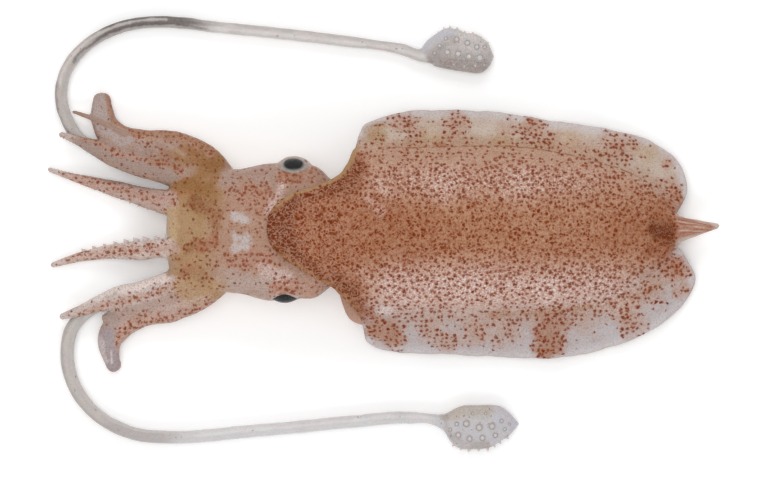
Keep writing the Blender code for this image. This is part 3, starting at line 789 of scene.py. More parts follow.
def paintTail(paint, off):
    # the notch at the tail, and its spine
    x = paint.points[:, 0]
    paint.strokes([([(53, 0.5), (62, 1.0)], 1.0, 6.5, 0.5, (138, 80, 50), 1.0)])
    for line in ([(61.5, 0.2), (65.0, -0.6)], [(61, 4), (64.4, 1.2)], [(60.5, -3.4), (64.4, -1.2)]):
        paint.stroke(line, 0.4, 2.2, 0.85, colour=(112, 54, 26), dots=1.0)
    paint.strokes([([(60.8, 1.2), (63.6, -0.4)], 0.7, 2.4, 0.95, (92, 36, 12), 2.0, None, None, 0.12)])
    for line in ([(62, 5), (65.5, 7.5)], [(62, -4), (65.5, -6.5)]):
        paint.stroke(line, 0.8, 3.2, 0.6, colour=(156, 104, 78), dots=1.0)
    beside = np.maximum(x, 0) * (np.abs(off - 0.6) > 2.2)
    spine = smooth(64.8, 66.4, x) * smooth(3.9, 3.1, np.abs(off - 0.2)) * smooth(71, 69.9, beside)
    paint.blend(spine, (160, 115, 98), dots=0.0, glint=0.1)
    fanned = np.column_stack([x * 0.1, off * 10 / np.maximum(79 - x, 2), np.zeros(len(x))])
    fibres = ripple(fanned, 0.34, 1.7)
    paint.blend(spine * smooth(0.02, 0.4, fibres) * 0.8, (196, 168, 156))
    paint.blend(spine * smooth(-0.02, -0.4, fibres) * 0.8, (136, 78, 54))
    thin = np.abs(off - 0.6) / np.maximum(0.3, (76 - x) * 0.36)
    paint.blend(spine * smooth(0.55, 1.0, thin), (194, 184, 178))
    paint.blend(spine * smooth(73.2, 75.0, x) * 0.8, (206, 192, 186))


def paintBody(piece):
    paint = Paint(piece, (184, 152, 134), dots=0.75)
    off = paint.points[:, 1] - mantleSize["axisY"]
    width = between(mantleSize["sections"], paint.points[:, 0])[:, 0]
    beyond = np.abs(off) - width
    onBack = smooth(1.6, -2.2, beyond) * np.where(off > 0, 1.0, smooth(2.5, -5.5, beyond))
    paintFins(paint, off, onBack)
    paintBack(paint, off, onBack)
    paintCreases(paint, off, width, onBack)
    paintLobe(paint, off)
    paintTail(paint, off)
    belly = smooth(-0.1, -0.6, paint.normals[:, 2])
    paint.blend(belly, (206, 194, 186), dots=0.1, glint=0.2)
    paint.finish()


collarRows = [
    # the underside's rim, which swells out past the left shoulder: x, y, clear height, width, thickness
    (-8.0, -7.5, 2.0, 4.4, 5.0), (-7.6, -11.4, 2.0, 4.8, 5.6), (-6.7, -15.0, 2.0, 4.9, 5.8),
    (-5.6, -17.6, 2.0, 4.6, 5.6), (-2.6, -18.4, 2.2, 4.2, 5.0), (3.0, -17.6, 2.4, 3.4, 4.0),
]


def makeCollar():
    def place(along, around):
        return limbPoints(collarRows, along, around, (0.12, 0.12))

    piece = wrapGrid("collar_left", 90, 40, place)
    paint = Paint(piece, (176, 142, 126), dots=0.05)
    paint.stroke(shifted(collarRows, 1.6), 0.3, 1.6, 0.7, colour=(190, 164, 150))
    limbSpread(piece, 2.5)
    paint.finish()
    return piece


eyeNames = ("eye_right", "eye_left")
eyeLook = {
    # gaze is how many degrees the eye looks up; pupil and iris are half-angles on the ball
    # lids are half-angles of the opening between them, across and upwards, round its own lift
    "eye_right": {
        "side": 1, "gaze": 37.0, "ball": 4.9, "pupil": 26.0, "iris": 37.0,
        "lids": (43.0, 36.0), "lidLift": 37.0,
    },
    "eye_left": {
        "side": -1, "gaze": 23.0, "ball": 5.04, "pupil": 33.0, "iris": 34.0,
        "lids": (34.5, 43.0), "lidLift": 10.0,
    },
    "lidOut": 0.12,  # how far the lids stand off the eye
    "sunk": 0.7,  # how far behind the ball's surface the flesh in the opening lies
    "around": (3.5, 2.0),  # distances from the eye between which the opening begins to act
    "opening": (1.04, 0.88),  # the opening's edge, from outside to inside
    "roll": (0.12, 1.14, 0.1),  # height, middle and width of the rolled rim
}


def eyeOf(name):
    low, high = (np.array(corner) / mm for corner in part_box(name))
    return (low + high) / 2, (high - low).max() / 2


def gazeOf(name, key="gaze"):
    look = eyeLook[name]
    lift = math.radians(look[key])
    return np.array([0.0, look["side"] * math.cos(lift), math.sin(lift)])


def eyeMaterial(name):
    look = eyeLook[name]
    shader = Shader(name + "_iris", Roughness=0.25, Specular_IOR_Level=0.1)
    sockets = {"Vector": shader.place(), "Location": tuple(-eyeOf(name)[0] * mm)}
    local = shader.node("ShaderNodeMapping", {}, sockets)["Vector"]
    gaze = Vector(gazeOf(name))
    ahead = shader.vector("DOT_PRODUCT", local, gaze)["Value"]
    length = shader.vector("LENGTH", local)["Value"]
    grain = shader.noise(shader.place(0.2), 0.45, 2.0)
    facing = ahead / length + (grain - 0.5) * 0.02
    iris, pupil = (math.cos(math.radians(look[key])) for key in ("iris", "pupil"))
    silver = shader.mix(shader.smooth(grain, 0.42, 0.6) * 0.5, tint(152, 142, 136), tint(188, 182, 178))
    colour = shader.mix(shader.smooth(facing, iris - 0.12, iris + 0.04), tint(196, 172, 160), silver)
    colour = shader.mix(shader.smooth(facing, pupil - 0.05, pupil), colour, tint(112, 104, 100))
    colour = shader.mix(shader.smooth(facing, pupil - 0.008, pupil + 0.02), colour, tint(22, 19, 20))
    return shader.feed(Base_Color=colour)


def makeBall(name, centre, radius):
    bpy.ops.object.select_all(action="DESELECT")
    bpy.ops.mesh.primitive_uv_sphere_add(segments=64, ring_count=40, radius=radius * mm)
    piece = bpy.context.object
    piece.name = piece.data.name = name
    setPoints(piece, pointsOf(piece) + centre)
    bpy.ops.object.shade_smooth()
    return piece


def makeEye(name):
    centre, radius = eyeOf(name)
    ball = makeBall(name + "_ball", centre, eyeLook[name]["ball"])
    ball.data.materials.append(eyeMaterial(name))
    cornea = makeBall(name + "_cornea", centre, radius)
    clear = Shader(name + "_clear", Roughness=0.06, Specular_IOR_Level=0.3, Alpha=0.07)
    clear.surface.inputs["Base Color"].default_value = (*tint(120, 120, 122), 1)
    cornea.data.materials.append(clear.material)
    return ball, cornea


headSize = {
    # along x: middle line's y, half-width, underside, top
    "sections": [
        (4.0, 0.3, 7.0, 4.0, 13.6),
        (-6.0, 0.3, 9.6, 1.5, 14.4),
        (-11.5, 0.2, 11.8, 0.6, 14.4),
        (-14.4, 0.4, 14.3, 0.0, 14.3),
        (-20.0, 0.6, 15.0, 0.0, 14.3),
        (-25.4, 0.4, 15.3, 0.0, 14.0),
        (-31.0, 0.5, 14.1, 0.0, 13.5),
        (-38.0, 0.8, 13.4, 0.0, 12.8),
        (-43.0, 1.4, 12.8, 0.0, 11.4),
        (-46.6, 1.4, 11.2, 0.3, 9.8),
        (-48.5, 1.3, 10.0, 2.2, 8.0),
    ],
    "square": 2.9,
    "front": 40,  # the front rounds off over one part in this many of the head's length
    "rings": 120,
    "sides": 110,
    "armRings": 120,
    "armSides": 40,
    "root": 0.02,  # shares of an arm's length over which its root and its tip round off
    "tip": 0.012,
    "bluntTip": 0.035,
    "voxel": 0.31,
    "softening": {"factor": 0.5, "iterations": 6},
    "relief": ((0.16, 3.2, 8.4), (0.05, 1.1, 2.7)),  # depth, size and seed of the unevenness of the skin
}
funnelRows = [
    (-28.5, 0.3, 0.0, 5.0, 3.2), (-24, 0.3, 0.0, 8, 4), (-14, 0.3, 0.0, 14, 5), (-4, 0.3, 0.0, 18, 6),
]
armRows = {
    # from the crown to the tip: x, y, clear height under the arm, width, thickness
    "arm_1_right": [
        (-38.0, 5.6, 4.6, 8.4, 7.6), (-47.4, 6.9, 4.4, 5.8, 5.0), (-53.0, 8.1, 1.9, 4.6, 4.0),
        (-60.5, 10.2, 0.0, 3.5, 3.1), (-68.5, 12.4, 0.0, 2.0, 1.9), (-75.5, 14.6, 0.0, 0.9, 1.0),
    ],
    "arm_1_left": [
        (-38.0, -3.2, 4.6, 8.4, 7.6), (-47.0, -3.3, 4.4, 5.2, 5.0), (-50.0, -3.3, 3.2, 4.2, 4.4),
        (-53.5, -3.7, 1.7, 4.3, 3.9),
        (-60.5, -4.0, 0.0, 3.4, 3.1), (-68.5, -5.3, 0.0, 2.1, 1.9), (-74.9, -7.2, 0.0, 1.0, 1.0),
    ],
    "arm_2_right": [
        (-38.0, 9.5, 3.2, 8.6, 8.0), (-46.5, 13.5, 3.4, 6.2, 5.0), (-49.0, 14.3, 3.2, 6.0, 4.7),
        (-54.0, 15.4, 2.8, 5.6, 4.0), (-61.0, 17.8, 2.5, 4.8, 3.0), (-67.0, 20.4, 2.3, 2.7, 1.9),
        (-72.9, 22.5, 2.1, 1.1, 1.0),
    ],
    "arm_2_left": [
        (-38.0, -8.0, 3.2, 8.6, 8.0), (-46.5, -10.8, 3.4, 5.8, 5.0), (-54.0, -13.3, 2.8, 5.5, 4.0),
        (-58.7, -14.2, 2.6, 5.2, 3.5), (-62.0, -15.1, 2.4, 4.3, 2.8), (-67.0, -17.0, 2.3, 2.8, 1.9),
        (-72.7, -18.8, 2.1, 1.2, 1.0),
    ],
    "arm_3_right": [
        (-38.0, 11.5, 2.0, 8.4, 7.0), (-46.0, 16.6, 2.6, 6.0, 4.6), (-53.0, 20.2, 3.0, 2.8, 2.6),
        (-58.5, 22.8, 3.1, 1.6, 1.6), (-64.0, 25.4, 2.5, 1.2, 1.2), (-69.9, 27.6, 0.9, 0.9, 0.9),
    ],
    "arm_3_left": [
        (-38.0, -9.8, 1.6, 8.4, 7.0), (-46.0, -13.8, 1.8, 6.8, 5.0), (-53.0, -16.2, 1.6, 5.2, 3.8),
        (-59.0, -18.0, 1.8, 3.4, 2.6), (-63.2, -19.2, 1.2, 1.5, 1.4),
    ],
    "arm_4_right": [
        (-36.4, 8.2, 0.0, 11.6, 9.4), (-41.4, 14.7, 0.0, 11.8, 7.8), (-47.5, 18.7, 0.0, 9.0, 5.8),
        (-54.0, 19.8, 0.0, 7.2, 5.2), (-59.8, 21.4, 0.0, 6.8, 4.4), (-62.5, 24.9, 0.0, 5.8, 3.5),
        (-63.1, 28.4, 0.0, 4.9, 2.9), (-63.1, 31.9, 0.0, 3.4, 2.2),
    ],
    "arm_4_left": [
        (-36.4, -6.6, 0.0, 11.4, 9.4), (-41.4, -11.6, 0.0, 10.6, 7.8), (-47.5, -15.5, 0.0, 8.6, 5.8),
        (-54.0, -17.7, 0.0, 6.6, 4.4), (-59.0, -20.4, 0.0, 6.6, 3.8), (-61.4, -24.0, 0.0, 5.6, 3.2),
        (-61.1, -27.6, 0.0, 3.9, 2.8), (-59.8, -31.0, 0.0, 3.0, 2.2),
    ],
}


def headPlace(along, around):
    start, end = headSize["sections"][0][0], headSize["sections"][-1][0]
    x = start + (end - start) * along
    middle, width, under, top = between(headSize["sections"], x).T
    ending = np.clip(along * headSize["front"] - (headSize["front"] - 1), 0, 1)
    closing = np.sqrt(np.clip(1 - ending**2, 0, 1)) * (along > 1e-6)
    angle = 2 * math.pi * around
    power = 2 / headSize["square"]
    y = middle + width * closing * signedPower(np.sin(angle), power)
    z = (top + under) / 2 + (top - under) / 2 * closing * signedPower(np.cos(angle), power)
    return np.column_stack([x, y, z])


def makeHead():
    size = headSize
    parts = [wrapGrid("head", size["rings"], size["sides"], headPlace)]
    for name, rows in [*armRows.items(), ("funnel", funnelRows)]:
        ends = (size["root"], size["bluntTip"] if "arm_4" in name else size["tip"])

        def place(along, around, rows=rows, ends=ends):
            return limbPoints(rows, along, around, ends)

        parts.append(wrapGrid(name, size["armRings"], size["armSides"], place))
    for name in eyeNames:
        centre, radius = eyeOf(name)
        parts.append(makeBall(name + "_lid", centre, radius + eyeLook["lidOut"]))
    piece = joinPieces(parts, "head_and_arms")
    applyModifier(piece, "REMESH", mode="VOXEL", voxel_size=size["voxel"] * mm)
    applyModifier(piece, "SMOOTH", **size["softening"])
    points = pointsOf(piece)
    relief = sum(depth * ripple(points, lump, seed) for depth, lump, seed in size["relief"])
    points += normalsOf(piece) * relief[:, None]
    for name in eyeNames:
        points = openLids(points, name)
    points[:, 2] = np.clip(points[:, 2], 0.0, None)
    setPoints(piece, np.clip(points, fleshLow, fleshHigh))
    selectOnly(piece)
    bpy.ops.object.shade_smooth()
    return piece


def openLids(points, name):
    # the flesh inside the opening is pushed in behind the ball, and its rim rolls up a little
    centre, radius = eyeOf(name)
    gaze = gazeOf(name, "lidLift")
    rise = np.cross((1, 0, 0), gaze)
    away = points - centre
    reach = np.linalg.norm(away, axis=1)
    ahead = away @ gaze
    lidWide, lidHigh = eyeLook[name]["lids"]
    wide = np.degrees(np.arctan2(away[:, 0], ahead)) / lidWide
    high = np.degrees(np.arctan2(away @ rise, ahead)) / lidHigh
    opening = np.hypot(wide, high)
    far, close = eyeLook["around"]
    near = smooth(radius + far, radius + close, reach) * (ahead > 0)
    behind = eyeLook[name]["ball"] - eyeLook["sunk"]
    share = smooth(*eyeLook["opening"], opening) * near
    height, middle, width = eyeLook["roll"]
    roll = height * np.exp(-(((opening - middle) / width) ** 2)) * near
    moved = reach + (behind - reach) * share + roll
    return centre + away * (moved / np.maximum(reach, 1e-6))[:, None]


armEdges = {
    # colour of each arm away from its spotted band
    "arm_4_right": (164, 141, 131),
    "arm_4_left": (180, 160, 154),
    "arm_3_left": (180, 160, 152),
    "arm_3_right": (154, 132, 122),
    "arm_2_right": (150, 136, 131),
    "arm_2_left": (196, 186, 183),
    "arm_1_right": (184, 164, 157),
    "arm_1_left": (212, 199, 194),
}
armBands = {
    # spotted pink bands: how far to the arm's left, half-width and colour
    "arm_3_right": (0.0, 0.2, (172, 142, 130)),
    "arm_2_right": (-1.2, 0.4, (168, 136, 124)),
    "arm_2_left": (0.9, 0.5, (188, 161, 151)),
    "arm_1_right": (-0.3, 0.7, (182, 152, 142)),
    "arm_1_left": (0.0, 0.8, (188, 161, 151)),
}


def paintFace(paint):
    paint.strokes([
        ([(-22, 0.5), (-33, 0.8)], 5.0, 5.0, 1.0, (166, 133, 116), 0.4),
        ([(-34, 12), (-26, 13)], 2.0, 3.0, 1.0, (160, 138, 129), 0.35),
        ([(-30.5, 9.2), (-27, 8.2), (-25, 6)], 1.2, 2.8, 0.9, (168, 128, 110), 0.7, 0.8),
        ([(-34, 8), (-30, 7)], 1.0, 2.4, 0.7, (170, 136, 120), 0.5, 0.2),
        ([(-36, -5.6), (-31, -6.4), (-26, -5.6)], 1.5, 2.0, 0.9, (172, 134, 119), 0.5, 0.8),
        ([(-22.2, 10.6), (-23.6, 8.0), (-25.2, 4.8)], 0.2, 1.3, 0.8, (200, 176, 170), 0.3, None, 0.7),
        ([(-26, -8.6), (-21.5, -9.8)], 0.6, 2.0, 0.8, (190, 168, 164), 0.4, None, 0.5),
        ([(-35.5, -9.4), (-29.5, -11.2), (-26, -12)], 1.4, 2.0, 0.9, (172, 155, 149), 0.15, 0.0),
        ([(-32.6, 3.6), (-30.8, 3.3)], 0.9, 0.9, 0.95, (188, 179, 178), 0.0, 0.0),
        ([(-32.2, -1), (-31, -1), (-31.2, -2.8), (-32.4, -3)], 0.9, 0.9, 0.95, (188, 180, 180), 0.0, 0.0),
        ([(-22.6, 12.8), (-18.4, 12.6)], 0.5, 1.5, 0.9, (160, 114, 94), 0.8, 1.0),
        ([(-23, -11.8), (-20.6, -12)], 0.9, 1.5, 0.95, (176, 132, 116), 0.5, 2.4),
        ([(-14, 10), (-16, 13)], 1.0, 2.5, 0.6, (162, 124, 106), 0.6, 0.3),
        ([(-14, -9.6), (-16, -12.6)], 1.0, 2.5, 0.6, (178, 140, 124), 0.6),
    ])
    for name in eyeNames:
        centre, radius = eyeOf(name)
        gap = np.linalg.norm(paint.points - centre, axis=1) - radius
        outward = smooth(2.0, 4.0, np.abs(paint.points[:, 1] - centre[1]))
        paint.blend(smooth(0.9, 0.2, gap) * 0.8 * outward, (192, 184, 180), dots=0.1, large=0.0)


def paintCrown(paint):
    # ochre, golden brown in places
    paint.strokes([
        ([(-42, 13), (-42, 5), (-43, 0), (-42.6, -11)], 2.6, 5.2, 1.0, (164, 134, 97), 0.16, 0.0),
        ([(-42, 15), (-41, 10), (-39, 7)], 1.4, 4.4, 0.9, (146, 108, 64), 0.3, 0.0),
        ([(-47.5, 6), (-47, 1.5), (-47.5, -2.4)], 0.6, 2.4, 0.8, (190, 164, 128), 0.1, 0.0),
        ([(-46.5, 11), (-43, 11), (-39.6, 10)], 0.9, 2.4, 0.9, (132, 90, 42), 0.3),
        ([(-45, 12.6), (-43, 13.2)], 0.3, 1.2, 0.25, (168, 112, 80)),
    ])
    paint.strokes([
        ([(-46, 9), (-43, 8.8)], 0.2, 1.4, 0.3, (170, 112, 78)),
        ([(-36.5, 2), (-37, -8)], 1.0, 3.0, 0.5, (162, 133, 112), 0.3),
        ([(-41.9, 7.2), (-39.6, 6.0)], 0.6, 1.5, 0.9, (126, 90, 52), 1.2, 0.8),
        ([(-39.5, 6.6), (-37.2, 4.6), (-37.6, 2.2)], 0.4, 1.7, 0.8, (132, 96, 56), 1.4, 0.3),
        ([(-43.6, -3.6), (-41.4, -2.2)], 0.4, 1.3, 0.9, (134, 98, 60), 1.2, 0.8),
        ([(-40.6, -2.6), (-37.6, -1.2)], 0.5, 1.5, 0.85, (154, 104, 76), 0.9, 0.9),
        ([(-40.6, -9.5), (-39, -10.6)], 0.5, 1.6, 0.6, (144, 112, 78), 0.8, 0.3),
        ([(-44, -6.5), (-41.5, -8.4)], 0.6, 2.0, 0.5, (162, 126, 90), 0.3, 0.2),
    ])


def paintArms(paint):
    # a spotted pink back and paler, greyer edges
    for name, colour in armEdges.items():
        reach = 3.0 if "arm_4" in name else 1.6
        line = shifted(armRows[name], 0, 0.3, 1)
        paint.stroke(line, reach, 1.8, 0.95, colour=colour, dots=0.2, large=0.0)
    for name, (shift, half, colour) in armBands.items():
        line = shifted(armRows[name], shift, 0.22, 0.9)
        paint.stroke(line, half, 0.8, 0.8, colour=colour, dots=0.5, large=0.7)
        paint.stroke(line[2:9], 0.1, 0.7, 0.8, large=1.4)
    paint.strokes([
        ([(-44.5, 17.6), (-41, 17.4), (-38.6, 15.6)], 1.2, 3.0, 0.85, (138, 96, 44), 0.5, 0.0),
        ([(-40, 18.2), (-37.4, 16)], 1.2, 3.0, 0.85, (132, 88, 38), 0.5, 0.0),
        ([(-44, -12.4), (-40, -13.8), (-38, -12.6)], 1.2, 3.0, 0.85, (174, 144, 106), 0.5, 0.0),
    ])
    for spot in ((-45.9, -5.9), (-44.3, -8.6), (-42.6, -7.6)):
        paint.stroke([spot], 0.5, 1.2, 0.8, colour=(158, 112, 84), large=1.2)


def paintBluntArms(paint):
    # the folded lowest arms
    rightEdge = [(-60, 24.9), (-57.3, 23), (-52.4, 22.4), (-47.2, 22.2), (-42.1, 20.6), (-38.7, 18.6)]
    leftEdge = [
        (-38.5, -16), (-42, -17.4), (-47, -18.6), (-51.3, -19.2),
        (-54.9, -19.6), (-57.8, -21.6), (-59.3, -24.1),
    ]
    paint.strokes([
        (rightEdge, 0.5, 1.5, 0.85, (156, 116, 92), 0.9),
        (leftEdge, 0.7, 1.4, 0.9, (184, 154, 142), 0.5, 0.9),
        ([(-51, 17.6), (-47, 15.2)], 0.3, 1.6, 0.7, (148, 112, 90), 0.5),
        ([(-53, 19.6), (-48, 18)], 0.2, 0.9, 0.7, (140, 104, 82), 0.4),
        ([(-62, 23.4), (-59.8, 21.8), (-56, 20.3), (-50.8, 18.5)], 0.5, 1.2, 0.8, (166, 148, 142), 0.15),
        (
            [(-46, -15.1), (-50.8, -15.6), (-55.1, -17.1), (-59.1, -18.9)],
            0.5, 1.2, 0.8, (172, 152, 146), 0.25,
        ),
        ([(-54.2, 21.6), (-50.2, 21), (-46.3, 19), (-44.2, 17.4)], 0.1, 0.8, 0.35, (196, 172, 158), 0.1),
        ([(-38.7, -14), (-42.5, -15), (-47, -16.2)], 0.1, 0.8, 0.5, (200, 180, 168), 0.1),
        (
            [(-63.6, 31.5), (-63.8, 27.4), (-62.9, 24.4), (-58, 21)],
            1.4, 1.0, 0.9, (167, 157, 156), 0.05, 0.0,
        ),
        ([(-61.6, 31.4), (-61, 28.5), (-60.2, 25.4)], 0.4, 0.7, 0.85, (150, 112, 94), 0.3),
        ([(-60.6, -19.6), (-62, -22.5)], 1.2, 1.2, 0.85, (160, 146, 142), 0.05, 0.0),
        (
            [(-62.2, -22.5), (-61.6, -25.2), (-60.9, -27.9), (-60, -30)],
            1.2, 1.0, 0.9, (153, 147, 155), 0.0, 0.0,
        ),
        ([(-64.2, -22.7), (-63.3, -25.6), (-62.2, -28.5)], 0.4, 0.6, 0.8, (196, 190, 192), 0.0),
        ([(-60.9, -26.4), (-60.8, -29.0)], 0.1, 0.3, 0.8, (212, 206, 206)),
    ])


def paintArmTips(paint):
    # on the left arms, painted light: a pale upper edge on the second arm over its own pale grey, and a white
    # line of painted highlight; a brown line for the thin whip over the blunt arm, pale tips
    paint.strokes([
        (shifted(armRows["arm_2_left"], -2.2, 0.3, 0.8), 0.5, 1.2, 0.9, (222, 214, 210), 0.05, 0.0),
        ([(-48.1, -10), (-52.6, -11.3), (-57.1, -13)], 0.1, 0.7, 0.8, (222, 206, 202), None, None, 1.0),
        (shifted(armRows["arm_3_right"], 0, 0.62, 1), 0.4, 0.4, 0.9, (152, 126, 114), 0.0, 0.0),
    ])
    for name in ("arm_1_right", "arm_1_left", "arm_2_right", "arm_2_left"):
        tip = armRows[name][-1][:2]
        paint.stroke([tip], 2.0, 4.0, 0.8, colour=(200, 190, 186), dots=0.2, large=0.2)


def paintHead(piece):
    limbSpread(piece, 2.6)
    paint = Paint(piece, (167, 138, 125), dots=0.35)
    for paintPart in (paintFace, paintCrown, paintArms, paintBluntArms, paintArmTips):
        paintPart(paint)
    under = smooth(0.0, -0.6, paint.normals[:, 2])
    paint.blend(under, (206, 188, 178), dots=0.08)
    paint.finish()


tentacleSize = {
    "tentacle_right": {
        "root": [(-40.0, 8.0), (-48.6, 12.4), (-56.0, 14.8), (-64.0, 18.5), (-68.6, 21.8)],
        "centre": (-50.8, 31.3),
        "radii": (21.5, 16.3),
        "turn": (201.0, 90.0),
        "run": [(-36.3, 46.3), (-10.3, 43.5), (4.0, 41.5)],
        "width": 2.95,
        "club": [
            (9.3, 40.2, 3.7, 2.7), (11.4, 41.1, 6.8, 2.9), (14.2, 41.6, 9.1, 3.1), (16.6, 41.3, 9.4, 3.2),
            (18.6, 40.7, 8.9, 3.2), (20.4, 40.5, 9.0, 3.2), (22.6, 40.1, 7.5, 3.0), (24.1, 40.0, 4.8, 2.6),
            (24.9, 39.8, 2.0, 2.0),
        ],
    },
    "tentacle_left": {
        "root": [(-40.0, -6.0), (-48.6, -10.4), (-57.0, -13.4), (-63.4, -15.6), (-67.6, -18.4)],
        "centre": (-50.0, -27.0),
        "radii": (20.9, 18.6),
        "turn": (-196.0, -90.0),
        "run": [(-28.2, -44.2), (-6.7, -42.2), (5.6, -41.3)],
        "width": 3.25,
        "club": [
            (12.2, -41.9, 2.8, 2.7), (13.7, -42.4, 3.9, 2.8),
            (15.2, -43.3, 7.0, 3.0), (16.5, -43.5, 8.8, 3.2),
            (18.0, -43.5, 9.8, 3.2), (22.0, -43.4, 9.9, 3.2),
            (24.8, -43.1, 9.2, 3.1), (26.4, -42.7, 7.9, 2.9),
            (28.0, -42.7, 5.8, 2.5), (29.4, -42.7, 3.2, 2.0), (30.6, -42.7, 1.1, 1.4),
        ],
    },
    "neck": 0.84,  # width beside the club, as a share of the width at the crown
    "flat": 0.92,  # thickness, as a share of the width
    "lift": 1.6,  # height above the floor at the crown
    "landing": 0.2,  # share of the path at which a tentacle has come down to the floor
    "step": 12.0,  # degrees between the points of the bend
    "relief": (0.08, 2.4, 5.5),
    "sides": 40,
    "rings": 420,
}


def tentacleRows(size):
    start, end = size["turn"]
    count = round(abs(end - start) / tentacleSize["step"])
    turns = [math.radians(start + (end - start) * i / count) for i in range(count + 1)]
    (cx, cy), (rx, ry) = size["centre"], size["radii"]
    bend = [(cx + rx * math.cos(turn), cy + ry * math.sin(turn)) for turn in turns]
    path = [*size["root"], *bend, *size["run"]]
    rows = []
    for i, (x, y) in enumerate(path):
        share = i / len(path)
        width = size["width"] * (1 + (tentacleSize["neck"] - 1) * share)
        lift = max(0.0, tentacleSize["lift"] * (1 - share / tentacleSize["landing"]))
        rows.append((x, y, lift, width, width * tentacleSize["flat"]))
    rows += [(x, y, 0.0, width, thick) for x, y, width, thick in size["club"]]
    return rows


def makeTentacle(name):
    rows = tentacleRows(tentacleSize[name])

    def place(along, around):
        return limbPoints(rows, along, around, (0.01, 0.012))

    piece = wrapGrid(name + "_skin", tentacleSize["rings"], tentacleSize["sides"], place)
    points = pointsOf(piece)
    depth, lump, seed = tentacleSize["relief"]
    points += normalsOf(piece) * (depth * ripple(points, lump, seed))[:, None]
    setPoints(piece, np.clip(points, fleshLow, fleshHigh))
    return piece


tentacleTones = {
    # the limb's colour, its bend's, and a darker stretch: three limits, how much, and what is laid on
    "tentacle_right": {
        "limb": (196, 190, 187),
        "bend": (178, 170, 165),
        "shade": ((-67, -62), (-35, -44), (36, 42), 1.0, {"colour": (100, 91, 87), "dots": 0.05}),
        "club": (172, 166, 163),
    },
    "tentacle_left": {
        "limb": (201, 199, 200),
        "bend": (184, 177, 172),
        "shade": ((-64, -60), (-44, -50), (-38, -42), 0.7, {"colour": (166, 159, 159)}),
        "club": (186, 184, 188),
    },
}
tentacleLines = {
    # mm to the limb's left, first and last share of its length, points, whether it stops at the bend,
    # and then a stroke's reach, softness, amount, colour and shares
    "tentacle_right": [
        (-0.85, 0.34, 0.55, 50, False, 0.35, 0.6, 0.75, (92, 83, 79), 0.1),
        # painted highlight: a pale streak along the arch
        (0.5, 0.3, 0.5, 50, False, 0.12, 0.4, 0.6, (206, 200, 196), None, None, 0.3),
        (1.15, 0.3, 0.95, 60, True, 0.3, 0.5, 0.7, (172, 165, 162)),
        (1.2, 0.08, 0.3, 40, False, 0.15, 0.4, 0.7, (134, 124, 120)),
        (-1.2, 0.1, 0.9, 90, False, 0.2, 0.5, 0.5, (206, 202, 200)),
        # painted highlight along the middle of the limb
        (-0.35, 0.08, 0.93, 90, True, 0.1, 0.4, 0.45, (222, 221, 220), None, None, 0.4),
    ],
    "tentacle_left": [
        (1.3, 0.35, 0.95, 60, True, 0.3, 0.6, 0.7, (214, 213, 216)),
        (-1.3, 0.08, 0.4, 40, False, 0.15, 0.5, 0.6, (160, 150, 146)),
        (1.2, 0.1, 0.9, 90, False, 0.2, 0.5, 0.5, (206, 202, 200)),
        # painted highlight along the middle of the limb
        (0.35, 0.08, 0.93, 90, True, 0.1, 0.4, 0.45, (222, 221, 220), None, None, 0.4),
    ],
}
clubStrokes = {
    "tentacle_right": [
        ([(12, 39.4), (16, 38.4), (22, 37.8)], 0.7, 1.4, 0.85, (146, 134, 129), 0.3),
        ([(9.8, 42), (12.2, 44.4), (16, 45.6)], 0.5, 1.2, 0.8, (180, 180, 188), 0.0),
        ([(10, 40.4), (13, 41.8), (16, 43.4)], 0.2, 0.8, 0.6, (140, 130, 126)),
        ([(18, 43.8), (22, 42.6)], 0.6, 2.0, 0.6, (196, 190, 184), None, None, 0.5),
    ],
    "tentacle_left": [
        ([(14.5, -41), (17, -39.8), (20, -39.4), (24, -39.8)], 0.5, 1.8, 0.75, (176, 164, 148), 0.3),
        ([(14, -41.5), (15, -45), (18, -47.6), (23, -47.6)], 0.3, 1.0, 0.6, (160, 150, 146)),
        ([(26, -42), (29.5, -42.6)], 0.8, 1.6, 0.7, (188, 188, 198), 0.0),
        ([(20.5, -47.4), (23.5, -47.4)], 0.3, 1.0, 0.7, (150, 142, 138)),
    ],
}


def paintTentacle(piece, name):
    limbSpread(piece, 1.5)
    rows = tentacleRows(tentacleSize[name])
    tones = tentacleTones[name]
    paint = Paint(piece, tones["limb"], dots=0.12)
    x, y = paint.points[:, 0], paint.points[:, 1]
    paint.blend(smooth(-42, -60, x), tones["bend"])
    behind, ahead, outside, amount, laid = tones["shade"]
    paint.blend(smooth(*behind, x) * smooth(*ahead, x) * smooth(*outside, y) * amount, **laid)
    for shift, start, end, count, stops, *stroke in tentacleLines[name]:
        line = shifted(rows, shift, start, end, count)
        paint.strokes([(line, *stroke)], smooth(-46, -38, x) if stops else None)
    paint.blend(smooth(9, 14, x), tones["club"], dots=0.2, glint=0.2)
    paint.strokes(clubStrokes[name])
    paint.finish()


suckerSize = {
    # a cup is modelled 1 mm in radius; each step insets its top and then moves it up or down
    "height": 0.9,
    "arm": {"sides": 9, "flare": 0.95, "steps": [(0.3, 0.05), (0.15, -0.3)]},
    "club": {
        "sides": 14,
        "flare": 0.86,
        "steps": [(0.1, 0.12), (0.06, -0.02), (0.08, -0.2), (0.06, 0.14), (0.28, 0.04)],
    },
    "cone": {"sides": 8, "flare": 0.16, "steps": [(0.06, 0.08)]},
    "rows": 30,  # suckers along each side of an arm
    "turn": 0.345,  # how far round the arm they sit, from the top
    "start": 0.26,  # share of an arm's length where they begin
    "run": 0.72,  # and the share along which they go on
    "bluntRun": 0.6,
    "crowding": 0.85,  # under 1, they are further apart near the head
    "share": 0.085,  # radius, as a share of the arm's width
    "largest": 0.42,
    "smallest": 0.14,
    "lift": 0.1,  # how far a sucker is moved out, as a share of its radius
    "squat": 0.9,
    "clubSunk": 0.1,  # how deep a club's suckers stand in its face, and their thickness
    "clubThick": 0.42,
}
